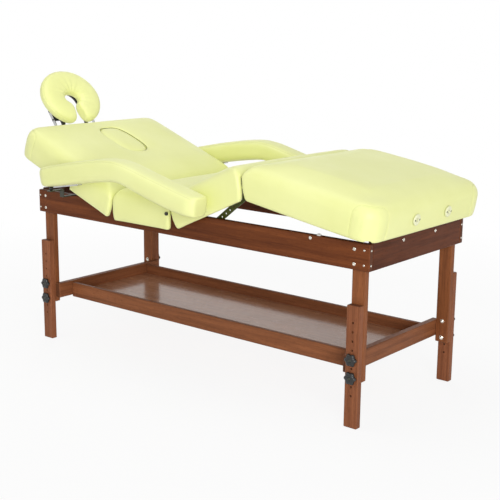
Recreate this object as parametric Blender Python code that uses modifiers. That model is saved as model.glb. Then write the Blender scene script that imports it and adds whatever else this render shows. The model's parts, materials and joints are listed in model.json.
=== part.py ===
# Stationary massage table: a wooden frame on height-adjustable legs with a shelf, a four-section
# padded top, two arched armrests and a tilting face cradle.
# Metres, +Z up. +X is the foot end, -X the head end, and the floor is z = 0.
import math

import bmesh
import bpy
from mathutils import Vector

# Driving dimensions: the wooden frame
FRAME_LENGTH = 1.740
FRAME_WIDTH = 0.660
RAIL_TOP = 0.672
RAIL_HEIGHT = 0.098
RAIL_THICKNESS = 0.022
END_RAIL_RISE = 0.0057
LEG_WIDTH = 0.055
LEG_INSET = 0.0225
LEG_TOP = 0.668
FIXED_LEG_FOOT = 0.168
RAIL_INNER = FRAME_WIDTH / 2 - RAIL_THICKNESS
LEG_RECESS = 0.0125
FIXED_LEG_THICKNESS = 0.0255
FIXED_LEG_OUTER = FRAME_WIDTH / 2 - LEG_RECESS
FIXED_LEG_INNER = FIXED_LEG_OUTER - FIXED_LEG_THICKNESS
REBATE_REACH = 0.03
SLIDING_LEG_THICKNESS = 0.0272
SLIDING_LEG_TOP = 0.450
HOLE_COUNT = 9
HOLE_PITCH = 0.0336
LOWEST_HOLE = 0.1198
HOLE_RADIUS = 0.0044
KNOB_HOLES = (2, 4)
LOWERING_STEPS = 3
STUD_RADIUS = 0.0036
STUD_DEPTH = 0.011
KNOB_RADIUS = 0.0225
KNOB_LOBE = 0.0028
KNOB_LOBES = 6
KNOB_THICKNESS = 0.016
EDGE_EASE = 0.0025
GAP = 0.0003

# Driving dimensions: the shelf between the legs
SHELF_CROSS_BOTTOM = 0.190
SHELF_SIDE_BOTTOM = 0.183
SHELF_PANEL_BOTTOM = 0.196
SHELF_BOARD_HEIGHT = 0.065
SHELF_CROSS_THICKNESS = 0.028
SHELF_SIDE_Y = 0.236
SHELF_SIDE_THICKNESS = 0.019
SHELF_PANEL_THICKNESS = 0.009

# Driving dimensions: the padded top. Every section turns on an axis at its board's underside.
AXIS_HEIGHT = 0.678
BACK_AXIS_X = -0.342
THIGH_AXIS_X = -0.017
THIGH_LENGTH = 0.392
BACK_LENGTH = 0.612
BACK_ANGLE = math.radians(21.0)
THIGH_ANGLE = math.radians(24.7)
LEG_SLOPE = math.radians(9.3)
FOOT_OVERHANG = 0.0500
KNEE_X = THIGH_AXIS_X + THIGH_LENGTH * math.cos(THIGH_ANGLE)
LEG_LENGTH = (FRAME_LENGTH / 2 + FOOT_OVERHANG - KNEE_X) / math.cos(LEG_SLOPE)
HALF_WIDTH = 0.392
SKIRT_THICKNESS = 0.024
SKIRT_DROP = 0.070
BOARD_THICKNESS = 0.012
BOARD_END = 0.006
AXIS_CLEARANCE = 0.0015
SKIRT_CLEARANCE = 0.003
FREE_CORNER = 0.068
HINGED_CORNER = 0.012

# Side profile of a cushion: how far each level is drawn in, and its height over the axis
CUSHION_LEVELS = ((0.008, -0.070), (0.003, -0.062), (0.0, -0.03), (0.0, 0.016), (0.003, 0.036), (0.010, 0.051),
                  (0.021, 0.0615), (0.040, 0.0685), (0.075, 0.073), (0.115, 0.0755))

# Bevels that let neighbouring sections close on each other
SEAT_BACK_BEVEL = math.radians(11.0)
BACK_BEVEL = math.radians(25.5)
SEAT_THIGH_BEVEL = math.radians(10.0)
THIGH_BEVEL = math.radians(20.5)
KNEE_BEVEL = math.radians(21.5)

# Driving dimensions: hinges, back prop and thigh stays
HINGE_HALF_LENGTH = 0.25
HINGE_LEAF = 0.028
HINGE_LEAF_THICKNESS = 0.0015
KNUCKLE_RADIUS = 0.0032
KNUCKLES = 5
KNUCKLE_PLAY = 0.0002
PROP_PIVOT = (-0.36, -0.018)
PROP_LENGTH = 0.1985
PROP_ANGLE = math.radians(38.2)
PROP_INSET = 0.016
PROP_Y = RAIL_INNER - PROP_INSET
PROP_RADIUS = 0.006
RACK_TOP = 0.606
RACK_SPAN = (-0.72, -0.48)
RACK_DEPTH = 0.036
STAY_PIVOT = (0.372, -0.030)
STAY_ANGLE = math.radians(13.9)
STAY_LENGTH = 0.335
STAY_WIDTH = 0.025
STAY_INSET = 0.0265
STAY_Y = RAIL_INNER - STAY_INSET
STAY_THICKNESS = 0.004
STAY_HOLES = 11
STAY_HOLE_PITCH = 0.025
PEG_X = 0.111
PEG_Z = 0.604
PEG_RADIUS = 0.005

# Driving dimensions: face-hole plug and sockets
PLUG_CENTRE = -0.381
PLUG_HALF_LENGTH = 0.121
PLUG_HALF_WIDTH = 0.072
PLUG_CLEARANCE = 0.0012
PLUG_LEDGE = 0.014
PLUG_POWER = 3.0
PLUG_LEVELS = ((0.0, 0.058), (0.002, 0.067), (0.007, 0.0725), (0.018, 0.0755), (0.036, 0.077))
SOCKET_Y = 0.112
SOCKET_Z = -0.013
SOCKET_BORE = 0.0075
SOCKET_TUBE = 0.0105
SOCKET_FLANGE = 0.021
SOCKET_FLANGE_THICKNESS = 0.004
SOCKET_BAR_HALF = 0.20
SOCKET_BAR_DEPTH = 0.045
HEAD_LIP_SPAN = (0.0, 0.007)
HEAD_LIP_DROP = 0.0665
FOOT_LIP_SPAN = (0.003, 0.012)
FOOT_LIP_DROP = 0.0665

# Driving dimensions: armrests. The path is the pad's middle line, seen from the side.
ARM_Y = 0.458
ARM_HALF_WIDTH = 0.056
ARM_POWER = 4.0
ARM_END_ROUND = 0.05
ARM_PATH = ((-0.662, 0.7615), (-0.45, 0.8015), (-0.27, 0.8285), (-0.175, 0.8265),
            (-0.06, 0.796), (0.06, 0.765), (0.15, 0.7455), (0.213, 0.7365))
ARM_HALF_HEIGHTS = (0.042, 0.0455, 0.0445, 0.0415, 0.044, 0.045, 0.043, 0.041)
ARM_STATIONS = 30
ARM_BAR_SPAN = (0.033, 0.135)
ARM_BAR_HALF_WIDTH = 0.012
ARM_BAR_THICKNESS = 0.006
ARM_PLATE_X = -0.632
ARM_PLATE_HALF = 0.012
ARM_PLATE_THICKNESS = 0.004
ARM_STEP_Y = 0.398
ARM_STEP_TOP = 0.7075
ARM_STUD_TOP = 0.7233
ARM_KNOB_TOP = 0.7222
ARM_KNOB_RADIUS = 0.0085
ARM_WEB_HALF = 0.0015
ARM_STRAP_Y = (HALF_WIDTH + 0.004, HALF_WIDTH + 0.009)
ARM_STRAP_HALF = 0.010
ARM_STRAP_LOW = AXIS_HEIGHT - 0.008
ARM_TONGUE_HEIGHT = 0.006
PIN_END_RADIUS = 0.006
PIN_END_LENGTH = 0.004

# Driving dimensions: face cradle
CRADLE_REACH = 0.085
CRADLE_ROD = 0.007
CRADLE_BAR = 0.008
CRADLE_BAR_HALF = 0.13
CRADLE_TILT = math.radians(34.5)
CRADLE_RING_CENTRE = 0.120
CRADLE_HALF_LENGTH = 0.084
CRADLE_HALF_SPAN = 0.103
CRADLE_OPENING = math.radians(13.0)
CRADLE_HALF_BAND = 0.0625
CRADLE_TIP_HALF_BAND = 0.054
CRADLE_TIP_ROUND = 0.03
CRADLE_HALF_HEIGHT = 0.031
CRADLE_POWER = 2.8
CRADLE_STATIONS = 40
CRADLE_PLATE_ARM_Y = 0.085
CRADLE_PLATE_HALF_BAND = 0.029
CRADLE_PLATE = (0.0135, 0.0215)
CRADLE_PLATE_START = 0.03
CRADLE_PLATE_STRAIGHT = 0.08
CRADLE_CLAMP_Y = (0.060, 0.080)

# The model's own middle along X, taken off so that the origin sits under the middle of its box
BOX_MIDDLE_X = -0.096918

NEGATIVE = -1
POSITIVE = 1
SIDES = (("near", NEGATIVE), ("far", POSITIVE))
ENDS = (("head", NEGATIVE), ("foot", POSITIVE))

for old in list(bpy.data.objects):
    bpy.data.objects.remove(old)

parts = bpy.data.collections.new("massage_table")
cutters = bpy.data.collections.new("cutters")
bpy.context.scene.collection.children.link(parts)
bpy.context.scene.collection.children.link(cutters)

# Materials: name, colour, roughness, metallic
WOOD = ("mahogany", (0.125, 0.032, 0.014), 0.35, 0.0)
PANEL_WOOD = ("shelf_panel", (0.11, 0.028, 0.012), 0.15, 0.0)
BOARD_WOOD = ("dark_board", (0.03, 0.018, 0.012), 0.7, 0.0)
VINYL = ("lemon_vinyl", (0.80, 0.82, 0.36), 0.45, 0.0)
BLACK = ("black_plastic", (0.012, 0.012, 0.012), 0.4, 0.0)
STEEL = ("bright_steel", (0.55, 0.55, 0.55), 0.3, 1.0)
DARK_STEEL = ("dark_steel", (0.03, 0.032, 0.022), 0.4, 1.0)
WHITE = ("white_plastic", (0.75, 0.75, 0.72), 0.4, 0.0)


def material(name, colour, roughness, metallic):
    made = bpy.data.materials.new(name)
    made.use_nodes = True
    shader = made.node_tree.nodes["Principled BSDF"]
    shader.inputs["Base Color"].default_value = (*colour, 1.0)
    shader.inputs["Roughness"].default_value = roughness
    shader.inputs["Metallic"].default_value = metallic
    return made


# Making and joining shapes. A look of None makes a cutter or a joined piece's operand.
def empty(name, parent, place, turn=0.0):
    made = bpy.data.objects.new(name, None)
    made.location = place
    made.rotation_euler = (0.0, turn, 0.0)
    made.parent = parent
    parts.objects.link(made)
    return made


def from_bmesh(name, bm, look, parent, smooth=False):
    mesh = bpy.data.meshes.new(name)
    bmesh.ops.recalc_face_normals(bm, faces=bm.faces)
    bm.to_mesh(mesh)
    bm.free()
    if smooth:
        mesh.shade_smooth()
        mesh.set_sharp_from_angle(angle=math.radians(40.0))
    made = bpy.data.objects.new(name, mesh)
    made.parent = parent
    if look is None:
        made.hide_render = True
        made.display_type = "WIRE"
        cutters.objects.link(made)
    else:
        tag, colour, roughness, metallic = look
        mesh.materials.append(material(f"{name}_{tag}", colour, roughness, metallic))
        parts.objects.link(made)
    return made


def block(name, look, parent, xs, ys, zs, ease=0.0):
    """A box between two values along each axis, given in either order."""
    bm = bmesh.new()
    bmesh.ops.create_cube(bm, size=1.0)
    spans = (sorted(xs), sorted(ys), sorted(zs))
    bmesh.ops.scale(bm, vec=[high - low for low, high in spans], verts=bm.verts)
    bmesh.ops.translate(bm, vec=[(low + high) / 2 for low, high in spans], verts=bm.verts)
    made = from_bmesh(name, bm, look, parent)
    if ease:
        bevel = made.modifiers.new("eased_edges", "BEVEL")
        bevel.width = ease
        bevel.segments = 1
    return made


def rod(name, look, parent, radius, start, end, sides=16):
    bm = bmesh.new()
    run = Vector(end) - Vector(start)
    bmesh.ops.create_cone(bm, cap_ends=True, segments=sides, radius1=radius, radius2=radius, depth=run.length)
    turn = Vector((0, 0, 1)).rotation_difference(run).to_matrix()
    bmesh.ops.rotate(bm, verts=bm.verts, cent=(0, 0, 0), matrix=turn)
    bmesh.ops.translate(bm, verts=bm.verts, vec=(Vector(start) + Vector(end)) / 2)
    return from_bmesh(name, bm, look, parent, smooth=True)


def boolean(target, other, operation):
    step = target.modifiers.new(f"{operation.lower()}_{other.name}", "BOOLEAN")
    step.operation = operation
    step.object = other
    step.solver = "EXACT"


def cut(target, *others):
    for other in others:
        boolean(target, other, "DIFFERENCE")


def join(target, *others):
    for other in others:
        boolean(target, other, "UNION")


def loft(name, look, parent, rings, closed=False):
    """Skin a run of rings that all have the same number of points."""
    bm = bmesh.new()
    loops = [[bm.verts.new(point) for point in ring] for ring in rings]
    count = len(loops[0])
    pairs = list(zip(loops, loops[1:]))
    if closed:
        pairs.append((loops[-1], loops[0]))
    for first, second in pairs:
        for i in range(count):
            j = (i + 1) % count
            bm.faces.new((first[i], first[j], second[j], second[i]))
    if not closed:
        bm.faces.new(loops[0])
        bm.faces.new(loops[-1])
    return from_bmesh(name, bm, look, parent, smooth=True)


def rounded_outline(low, high, half, low_corner, high_corner, steps=4):
    """A rectangle in X and Y with round corners, one radius at each end."""
    corners = ((high, half, high_corner, 0), (low, half, low_corner, 1),
               (low, -half, low_corner, 2), (high, -half, high_corner, 3))
    points = []
    for x, y, radius, quarter in corners:
        centre = (x - radius if x == high else x + radius, y - math.copysign(radius, y))
        for step in range(steps + 1):
            angle = math.pi / 2 * (quarter + step / steps)
            points.append((centre[0] + radius * math.cos(angle), centre[1] + radius * math.sin(angle)))
    return points


def power_oval(half_a, half_b, power, count):
    """Points of an oval between an ellipse (power 2) and a rectangle."""
    points = []
    for i in range(count):
        angle = 2 * math.pi * (i + 0.5) / count
        c, s = math.cos(angle), math.sin(angle)
        points.append((half_a * math.copysign(abs(c) ** (2 / power), c),
                       half_b * math.copysign(abs(s) ** (2 / power), s)))
    return points


def smooth_point(points, t):
    """A point at t in 0..1 of a smooth curve through the given points."""
    last = len(points) - 1
    place = min(max(t, 0.0), 1.0) * last
    i = min(int(place), last - 1)
    f = place - i
    p1, p2 = Vector(points[i]), Vector(points[i + 1])
    p0 = Vector(points[i - 1]) if i > 0 else 2 * p1 - p2
    p3 = Vector(points[i + 2]) if i < last - 1 else 2 * p2 - p1
    return 0.5 * (2 * p1 + (p2 - p0) * f + (2 * p0 - 5 * p1 + 4 * p2 - p3) * f ** 2
                  + (3 * p1 - p0 - 3 * p2 + p3) * f ** 3)


table = empty("table_origin", None, (-BOX_MIDDLE_X, 0.0, 0.0))


# The frame: side rails carry the prop's racks and the stays' pegs
def side_rail(side, sign):
    inner = RAIL_INNER
    rail = block(f"side_rail_{side}", WOOD, table, (-FRAME_LENGTH / 2, FRAME_LENGTH / 2),
                 (sign * inner, sign * FRAME_WIDTH / 2), (RAIL_TOP - RAIL_HEIGHT, RAIL_TOP), EDGE_EASE)
    rack = block(f"rack_{side}", None, table, RACK_SPAN, (sign * (inner - RACK_DEPTH), sign * (inner + 0.004)),
                 (RACK_TOP - 0.022, RACK_TOP))
    peg = rod(f"peg_{side}", None, table, PEG_RADIUS, (PEG_X, sign * (STAY_Y + 0.001), PEG_Z),
              (PEG_X, sign * (inner + 0.004), PEG_Z), 12)
    join(rail, rack, peg)


def end_rail(end, sign):
    outer = FRAME_LENGTH / 2
    half = RAIL_INNER - GAP
    block(f"end_rail_{end}", WOOD, table, (sign * (outer - RAIL_THICKNESS), sign * outer), (-half, half),
          (RAIL_TOP - RAIL_HEIGHT, RAIL_TOP + END_RAIL_RISE), EDGE_EASE)


def leg_span(end_sign):
    outer = FRAME_LENGTH / 2 - LEG_INSET
    return (end_sign * (outer - LEG_WIDTH), end_sign * outer)


def leg_middle(end_sign):
    return sum(leg_span(end_sign)) / 2


def hole_height(index):
    return LOWEST_HOLE + HOLE_PITCH * index


# A fixed leg is let in behind the side rail, and is grooved where the sliding leg's bolts run
def fixed_leg(end, end_sign, side, sign):
    name = f"fixed_leg_{end}_{side}"
    rail_inner = RAIL_INNER - GAP
    leg = block(name, WOOD, table, leg_span(end_sign), (sign * FIXED_LEG_INNER, sign * FIXED_LEG_OUTER),
                (FIXED_LEG_FOOT, LEG_TOP), EDGE_EASE)
    inner, outer = leg_span(end_sign)
    reach = end_sign * REBATE_REACH
    rebate = block(f"{name}_rebate", None, table, (inner - reach, outer + reach),
                   (sign * rail_inner, sign * (FIXED_LEG_OUTER + REBATE_REACH)),
                   (RAIL_TOP - RAIL_HEIGHT - GAP, LEG_TOP + REBATE_REACH))
    middle = leg_middle(end_sign)
    half_groove = STUD_RADIUS + 0.002
    top_bolt = hole_height(KNOB_HOLES[1]) + LOWERING_STEPS * HOLE_PITCH
    groove = block(f"{name}_groove", None, table, (middle - half_groove, middle + half_groove),
                   (sign * (FIXED_LEG_OUTER - STUD_DEPTH - 0.003), sign * (FIXED_LEG_OUTER + REBATE_REACH)),
                   (hole_height(KNOB_HOLES[0]) - half_groove, top_bolt + half_groove))
    cut(leg, rebate, groove)


def sliding_leg(end, end_sign, side, sign):
    name = f"sliding_leg_{end}_{side}"
    inner = FIXED_LEG_OUTER + GAP
    outer = inner + SLIDING_LEG_THICKNESS
    pivot = empty(f"{name}_slide", table, (leg_middle(end_sign), 0.0, 0.0))
    leg = block(name, WOOD, pivot, (-LEG_WIDTH / 2, LEG_WIDTH / 2), (sign * inner, sign * outer),
                (0.0, SLIDING_LEG_TOP), EDGE_EASE)
    bm = bmesh.new()
    for index in range(HOLE_COUNT):
        made = bmesh.ops.create_cone(bm, cap_ends=True, segments=12, radius1=HOLE_RADIUS, radius2=HOLE_RADIUS,
                                     depth=0.06)
        bmesh.ops.translate(bm, verts=made["verts"], vec=(0.0, -hole_height(index), 0.0))
    bmesh.ops.rotate(bm, verts=bm.verts, cent=(0, 0, 0), matrix=Vector((0, 0, 1)).rotation_difference(
        Vector((0, 1, 0))).to_matrix())
    bmesh.ops.translate(bm, verts=bm.verts, vec=(0.0, sign * (inner + outer) / 2, 0.0))
    cut(leg, from_bmesh(f"{name}_holes", bm, None, pivot))
    for level, index in zip(("lower", "upper"), KNOB_HOLES):
        leg_knob(f"leg_knob_{end}_{side}_{level}", pivot, sign, outer + GAP, hole_height(index))


# A star knob on its bolt; the bolt's tip runs in the fixed leg's groove
def leg_knob(name, parent, sign, face, height):
    axis = empty(f"{name}_axis", parent, (0.0, sign * face, height))
    bm = bmesh.new()
    steps = KNOB_LOBES * 5
    outline = []
    for step in range(steps):
        angle = 2 * math.pi * step / steps
        radius = KNOB_RADIUS + KNOB_LOBE * math.cos(KNOB_LOBES * angle)
        outline.append((radius * math.cos(angle), radius * math.sin(angle)))
    rings = []
    for inset, depth in ((0.82, 0.0), (1.0, 0.003), (1.0, KNOB_THICKNESS - 0.004), (0.84, KNOB_THICKNESS)):
        rings.append([(inset * x, sign * depth, inset * z) for x, z in outline])
    bm.free()
    knob = loft(name, BLACK, axis, rings)
    tip = -sign * (SLIDING_LEG_THICKNESS + 2 * GAP + STUD_DEPTH)
    join(knob, rod(f"{name}_bolt", None, axis, STUD_RADIUS, (0, sign * 0.005, 0), (0, tip, 0), 12))


for side, sign in SIDES:
    side_rail(side, sign)
for end, end_sign in ENDS:
    end_rail(end, end_sign)
    for side, sign in SIDES:
        fixed_leg(end, end_sign, side, sign)
        sliding_leg(end, end_sign, side, sign)


# The shelf: two cross boards on the legs, two side boards and a panel between them
def shelf():
    leg_inner = FRAME_LENGTH / 2 - LEG_INSET - LEG_WIDTH - GAP
    cross_inner = leg_inner - SHELF_CROSS_THICKNESS
    side_inner = SHELF_SIDE_Y - SHELF_SIDE_THICKNESS / 2
    side_outer = SHELF_SIDE_Y + SHELF_SIDE_THICKNESS / 2
    reach = cross_inner - GAP
    for end, sign in ENDS:
        block(f"shelf_cross_board_{end}", WOOD, table, (sign * cross_inner, sign * leg_inner),
              (-FIXED_LEG_OUTER, FIXED_LEG_OUTER),
              (SHELF_CROSS_BOTTOM, SHELF_CROSS_BOTTOM + SHELF_BOARD_HEIGHT), EDGE_EASE)
    for side, sign in SIDES:
        block(f"shelf_side_board_{side}", WOOD, table, (-reach, reach), (sign * side_inner, sign * side_outer),
              (SHELF_SIDE_BOTTOM, SHELF_SIDE_BOTTOM + SHELF_BOARD_HEIGHT), EDGE_EASE)
    half = side_inner - GAP
    block("shelf_panel", PANEL_WOOD, table, (-reach, reach), (-half, half),
          (SHELF_PANEL_BOTTOM, SHELF_PANEL_BOTTOM + SHELF_PANEL_THICKNESS))


shelf()

# Pivots of the padded sections, each on its hinge axis. Sections are drawn lying flat.
seat = empty("seat_place", table, (0.0, 0.0, AXIS_HEIGHT))
back = empty("back_axis", table, (BACK_AXIS_X, 0.0, AXIS_HEIGHT), BACK_ANGLE)
thigh = empty("thigh_axis", table, (THIGH_AXIS_X, 0.0, AXIS_HEIGHT), -THIGH_ANGLE)
leg = empty("knee_axis", thigh, (THIGH_LENGTH, 0.0, 0.0), THIGH_ANGLE + LEG_SLOPE)


def hinged_end(axis_x, sign, over_bevel, under_bevel, under_gap):
    """The end plane of a cushion beside a hinge axis, as a function of height."""
    def place(height):
        if height >= 0:
            return axis_x + sign * (AXIS_CLEARANCE + height * math.tan(over_bevel))
        return axis_x + sign * (under_gap - height * math.tan(under_bevel))
    return place


def free_end(x):
    return lambda height: x


def cushion(name, parent, low, high, low_corner, high_corner, hollow):
    """A crowned pad whose skirt hangs round its board; hollow is the board's space along X."""
    rings = []
    for inset, height in CUSHION_LEVELS:
        x_low, x_high = low(height) + inset, high(height) - inset
        corners = [max(radius - inset, 0.004) for radius in (low_corner, high_corner)]
        outline = rounded_outline(x_low, x_high, HALF_WIDTH - inset, *corners)
        rings.append([(x, y, height) for x, y in outline])
    made = loft(name, VINYL, parent, rings)
    half = HALF_WIDTH - SKIRT_THICKNESS
    cut(made, block(f"{name}_hollow", None, parent, hollow, (-half, half),
                    (-SKIRT_DROP - 0.02, BOARD_THICKNESS + GAP)))
    return made


def board(name, parent, low, high):
    half = HALF_WIDTH - SKIRT_THICKNESS - 2 * GAP
    return block(name, BOARD_WOOD, parent, (low, high), (-half, half), (0.0, BOARD_THICKNESS))


# The seat is fixed: strips under its board lie on the side rails
def seat_section():
    made = board("seat_board", seat, BACK_AXIS_X + BOARD_END, THIGH_AXIS_X - BOARD_END)
    inner = RAIL_INNER
    for side, sign in SIDES:
        join(made, block(f"seat_strip_{side}", None, seat, (BACK_AXIS_X + 0.04, THIGH_AXIS_X - 0.05),
                         (sign * (inner + 0.001), sign * (FRAME_WIDTH / 2 - 0.001)),
                         (RAIL_TOP - AXIS_HEIGHT + GAP, 0.004)))
    cushion("seat_cushion", seat, hinged_end(BACK_AXIS_X, 1, SEAT_BACK_BEVEL, 0.0, SKIRT_CLEARANCE),
            hinged_end(THIGH_AXIS_X, -1, SEAT_THIGH_BEVEL, 0.0, SKIRT_CLEARANCE),
            HINGED_CORNER, HINGED_CORNER, (BACK_AXIS_X - 0.1, THIGH_AXIS_X + 0.1))


def plug_outline(extra):
    return power_oval(PLUG_HALF_LENGTH + extra, PLUG_HALF_WIDTH + extra, PLUG_POWER, 32)


def plug_column(name, look, extra, levels):
    rings = []
    for inset, height in levels:
        rings.append([(PLUG_CENTRE + x, y, height) for x, y in plug_outline(extra - inset)])
    return loft(name, look, back, rings)


def back_section():
    skirt = -BACK_LENGTH + SKIRT_THICKNESS
    pad = cushion("back_cushion", back, free_end(-BACK_LENGTH),
                  hinged_end(0.0, -1, BACK_BEVEL, 0.0, SKIRT_CLEARANCE), FREE_CORNER, HINGED_CORNER, (skirt, 0.1))
    plate = board("back_board", back, skirt + 2 * GAP, -BOARD_END)
    cut(pad, plug_column("plug_seat", None, PLUG_CLEARANCE, ((0, -0.01), (0, 0.09))))
    cut(plate, plug_column("face_hole", None, -PLUG_LEDGE, ((0, -0.03), (0, 0.03))))
    floor = BOARD_THICKNESS + 2 * GAP
    plug_column("face_hole_plug", VINYL, 0.0, ((0.0, floor), *PLUG_LEVELS))
    notch_middle = ARM_PLATE_X - BACK_AXIS_X
    for side, sign in SIDES:
        cut(pad, block(f"armrest_notch_{side}", None, back, (notch_middle - 0.034, notch_middle + 0.034),
                       (sign * (HALF_WIDTH - SKIRT_THICKNESS - 0.01), sign * (HALF_WIDTH + 0.01)), (-0.1, 0.002)))
        lug = block(f"prop_lug_{side}", None, back, (PROP_PIVOT[0] - 0.014, PROP_PIVOT[0] + 0.014),
                    (sign * (PROP_Y - 0.030), sign * (PROP_Y - 0.016)), (PROP_PIVOT[1] - 0.014, 0.004))
        bore = rod(f"prop_bore_{side}", None, back, PROP_RADIUS + 0.0006,
                   (PROP_PIVOT[0], sign * (PROP_Y - 0.05), PROP_PIVOT[1]),
                   (PROP_PIVOT[0], sign * (PROP_Y + 0.01), PROP_PIVOT[1]), 12)
        join(plate, lug)
        cut(plate, bore)
    socket_bar("head_socket_bar", pad, back, -1.0, BACK_LENGTH, HEAD_LIP_SPAN, HEAD_LIP_DROP)


def thigh_section():
    cushion("thigh_cushion", thigh, hinged_end(0.0, 1, THIGH_BEVEL, 0.0, SKIRT_CLEARANCE),
            hinged_end(THIGH_LENGTH, -1, 0.0, KNEE_BEVEL, AXIS_CLEARANCE), HINGED_CORNER, HINGED_CORNER,
            (-0.1, THIGH_LENGTH + 0.1))
    plate = board("thigh_board", thigh, BOARD_END, THIGH_LENGTH - BOARD_END)
    for side, sign in SIDES:
        lug = block(f"stay_lug_{side}", None, thigh, (STAY_PIVOT[0] - 0.013, STAY_PIVOT[0] + 0.013),
                    (sign * (STAY_Y - GAP), sign * (STAY_Y - 0.019)), (STAY_PIVOT[1] - 0.013, 0.004))
        bore = rod(f"stay_bore_{side}", None, thigh, PEG_RADIUS + 0.0006,
                   (STAY_PIVOT[0], sign * (STAY_Y - 0.03), STAY_PIVOT[1]),
                   (STAY_PIVOT[0], sign * (STAY_Y + 0.01), STAY_PIVOT[1]), 12)
        join(plate, lug)
        cut(plate, bore)
        thigh_stay(side, sign)


# A perforated flat stay under each side of the thigh section; its lower end lies over a peg
def thigh_stay(side, sign):
    axis = empty(f"thigh_stay_{side}_axis", thigh, (STAY_PIVOT[0], 0.0, STAY_PIVOT[1]), -STAY_ANGLE)
    name = f"thigh_stay_{side}"
    plate = block(name, DARK_STEEL, axis, (-STAY_LENGTH, 0.014), (sign * STAY_Y, sign * (STAY_Y + STAY_THICKNESS)),
                  (-STAY_WIDTH / 2, STAY_WIDTH / 2))
    bm = bmesh.new()
    for index in range(STAY_HOLES):
        made = bmesh.ops.create_cone(bm, cap_ends=True, segments=10, radius1=0.004, radius2=0.004, depth=0.02)
        bmesh.ops.translate(bm, verts=made["verts"], vec=(-STAY_HOLE_PITCH * (index + 1.6), 0.0, 0.0))
    bmesh.ops.rotate(bm, verts=bm.verts, cent=(0, 0, 0), matrix=Vector((0, 0, 1)).rotation_difference(
        Vector((0, 1, 0))).to_matrix())
    bmesh.ops.translate(bm, verts=bm.verts, vec=(0.0, sign * (STAY_Y + STAY_THICKNESS / 2), 0.0))
    pin = rod(f"{name}_pin", None, axis, PEG_RADIUS, (0, sign * (STAY_Y - 0.014), 0), (0, sign * (STAY_Y + 0.002), 0), 12)
    join(plate, pin)
    cut(plate, from_bmesh(f"{name}_holes", bm, None, axis))


def leg_section():
    skirt = LEG_LENGTH - SKIRT_THICKNESS
    pad = cushion("leg_cushion", leg, hinged_end(0.0, 1, 0.0, KNEE_BEVEL, AXIS_CLEARANCE), free_end(LEG_LENGTH),
                  HINGED_CORNER, FREE_CORNER, (-0.1, skirt))
    board("leg_board", leg, BOARD_END, skirt - 2 * GAP)
    socket_bar("foot_socket_bar", pad, leg, 1.0, LEG_LENGTH, FOOT_LIP_SPAN, FOOT_LIP_DROP)


# A bar behind the end skirt holds two rod sockets, whose flanges show on the skirt
def socket_bar(name, pad, parent, sign, length, lip_span, lip_drop):
    outer = length - SKIRT_THICKNESS - 2 * GAP
    half = SOCKET_BAR_HALF
    bar = block(name, WHITE, parent, (sign * (outer - SOCKET_BAR_DEPTH), sign * outer), (-half, half), (-0.030, -GAP))
    lip = block(f"{name}_lip", None, parent, (sign * (outer - lip_span[1]), sign * (outer - lip_span[0])),
                (-half, half), (-lip_drop, -0.028))
    join(bar, lip)
    for y in (-SOCKET_Y, SOCKET_Y):
        tag = f"{name}_{'near' if y < 0 else 'far'}"
        face = length + GAP
        tube = rod(f"{tag}_tube", None, parent, SOCKET_TUBE, (sign * (outer - 0.01), y, SOCKET_Z),
                   (sign * (face + 0.002), y, SOCKET_Z), 20)
        flange = rod(f"{tag}_flange", None, parent, SOCKET_FLANGE, (sign * face, y, SOCKET_Z),
                     (sign * (face + SOCKET_FLANGE_THICKNESS), y, SOCKET_Z), 24)
        bore = rod(f"{tag}_bore", None, parent, SOCKET_BORE, (sign * (length - 0.2), y, SOCKET_Z),
                   (sign * (length + 0.05), y, SOCKET_Z), 16)
        way = rod(f"{tag}_way", None, parent, SOCKET_TUBE + 0.0006, (sign * (length - 0.06), y, SOCKET_Z),
                  (sign * (length + 0.03), y, SOCKET_Z), 20)
        join(bar, tube, flange)
        cut(bar, bore)
        cut(pad, way)


# A long hinge under two boards: each leaf carries every other knuckle
def hinge(name, fixed_parent, fixed_x, fixed_sign, moving_parent, moving_x):
    for leaf, parent, x, sign, offset in (("fixed_leaf", fixed_parent, fixed_x, fixed_sign, 0),
                                          ("moving_leaf", moving_parent, moving_x, -fixed_sign, 1)):
        leaf_name = f"{name}_{leaf}"
        top = -GAP
        bottom = top - HINGE_LEAF_THICKNESS
        plate = block(leaf_name, STEEL, parent, (x + sign * 0.0045, x + sign * HINGE_LEAF),
                      (-HINGE_HALF_LENGTH, HINGE_HALF_LENGTH), (bottom, top))
        pitch = 2 * HINGE_HALF_LENGTH / KNUCKLES
        for index in range(offset, KNUCKLES, 2):
            low = -HINGE_HALF_LENGTH + pitch * index + KNUCKLE_PLAY
            high = low + pitch - 2 * KNUCKLE_PLAY
            tongue = block(f"{leaf_name}_tongue_{index}", None, parent, (x + sign * 0.001, x + sign * 0.006),
                           (low, high), (bottom, top))
            knuckle = rod(f"{leaf_name}_knuckle_{index}", None, parent, KNUCKLE_RADIUS, (x, low, 0.0), (x, high, 0.0), 10)
            join(plate, tongue, knuckle)


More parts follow.
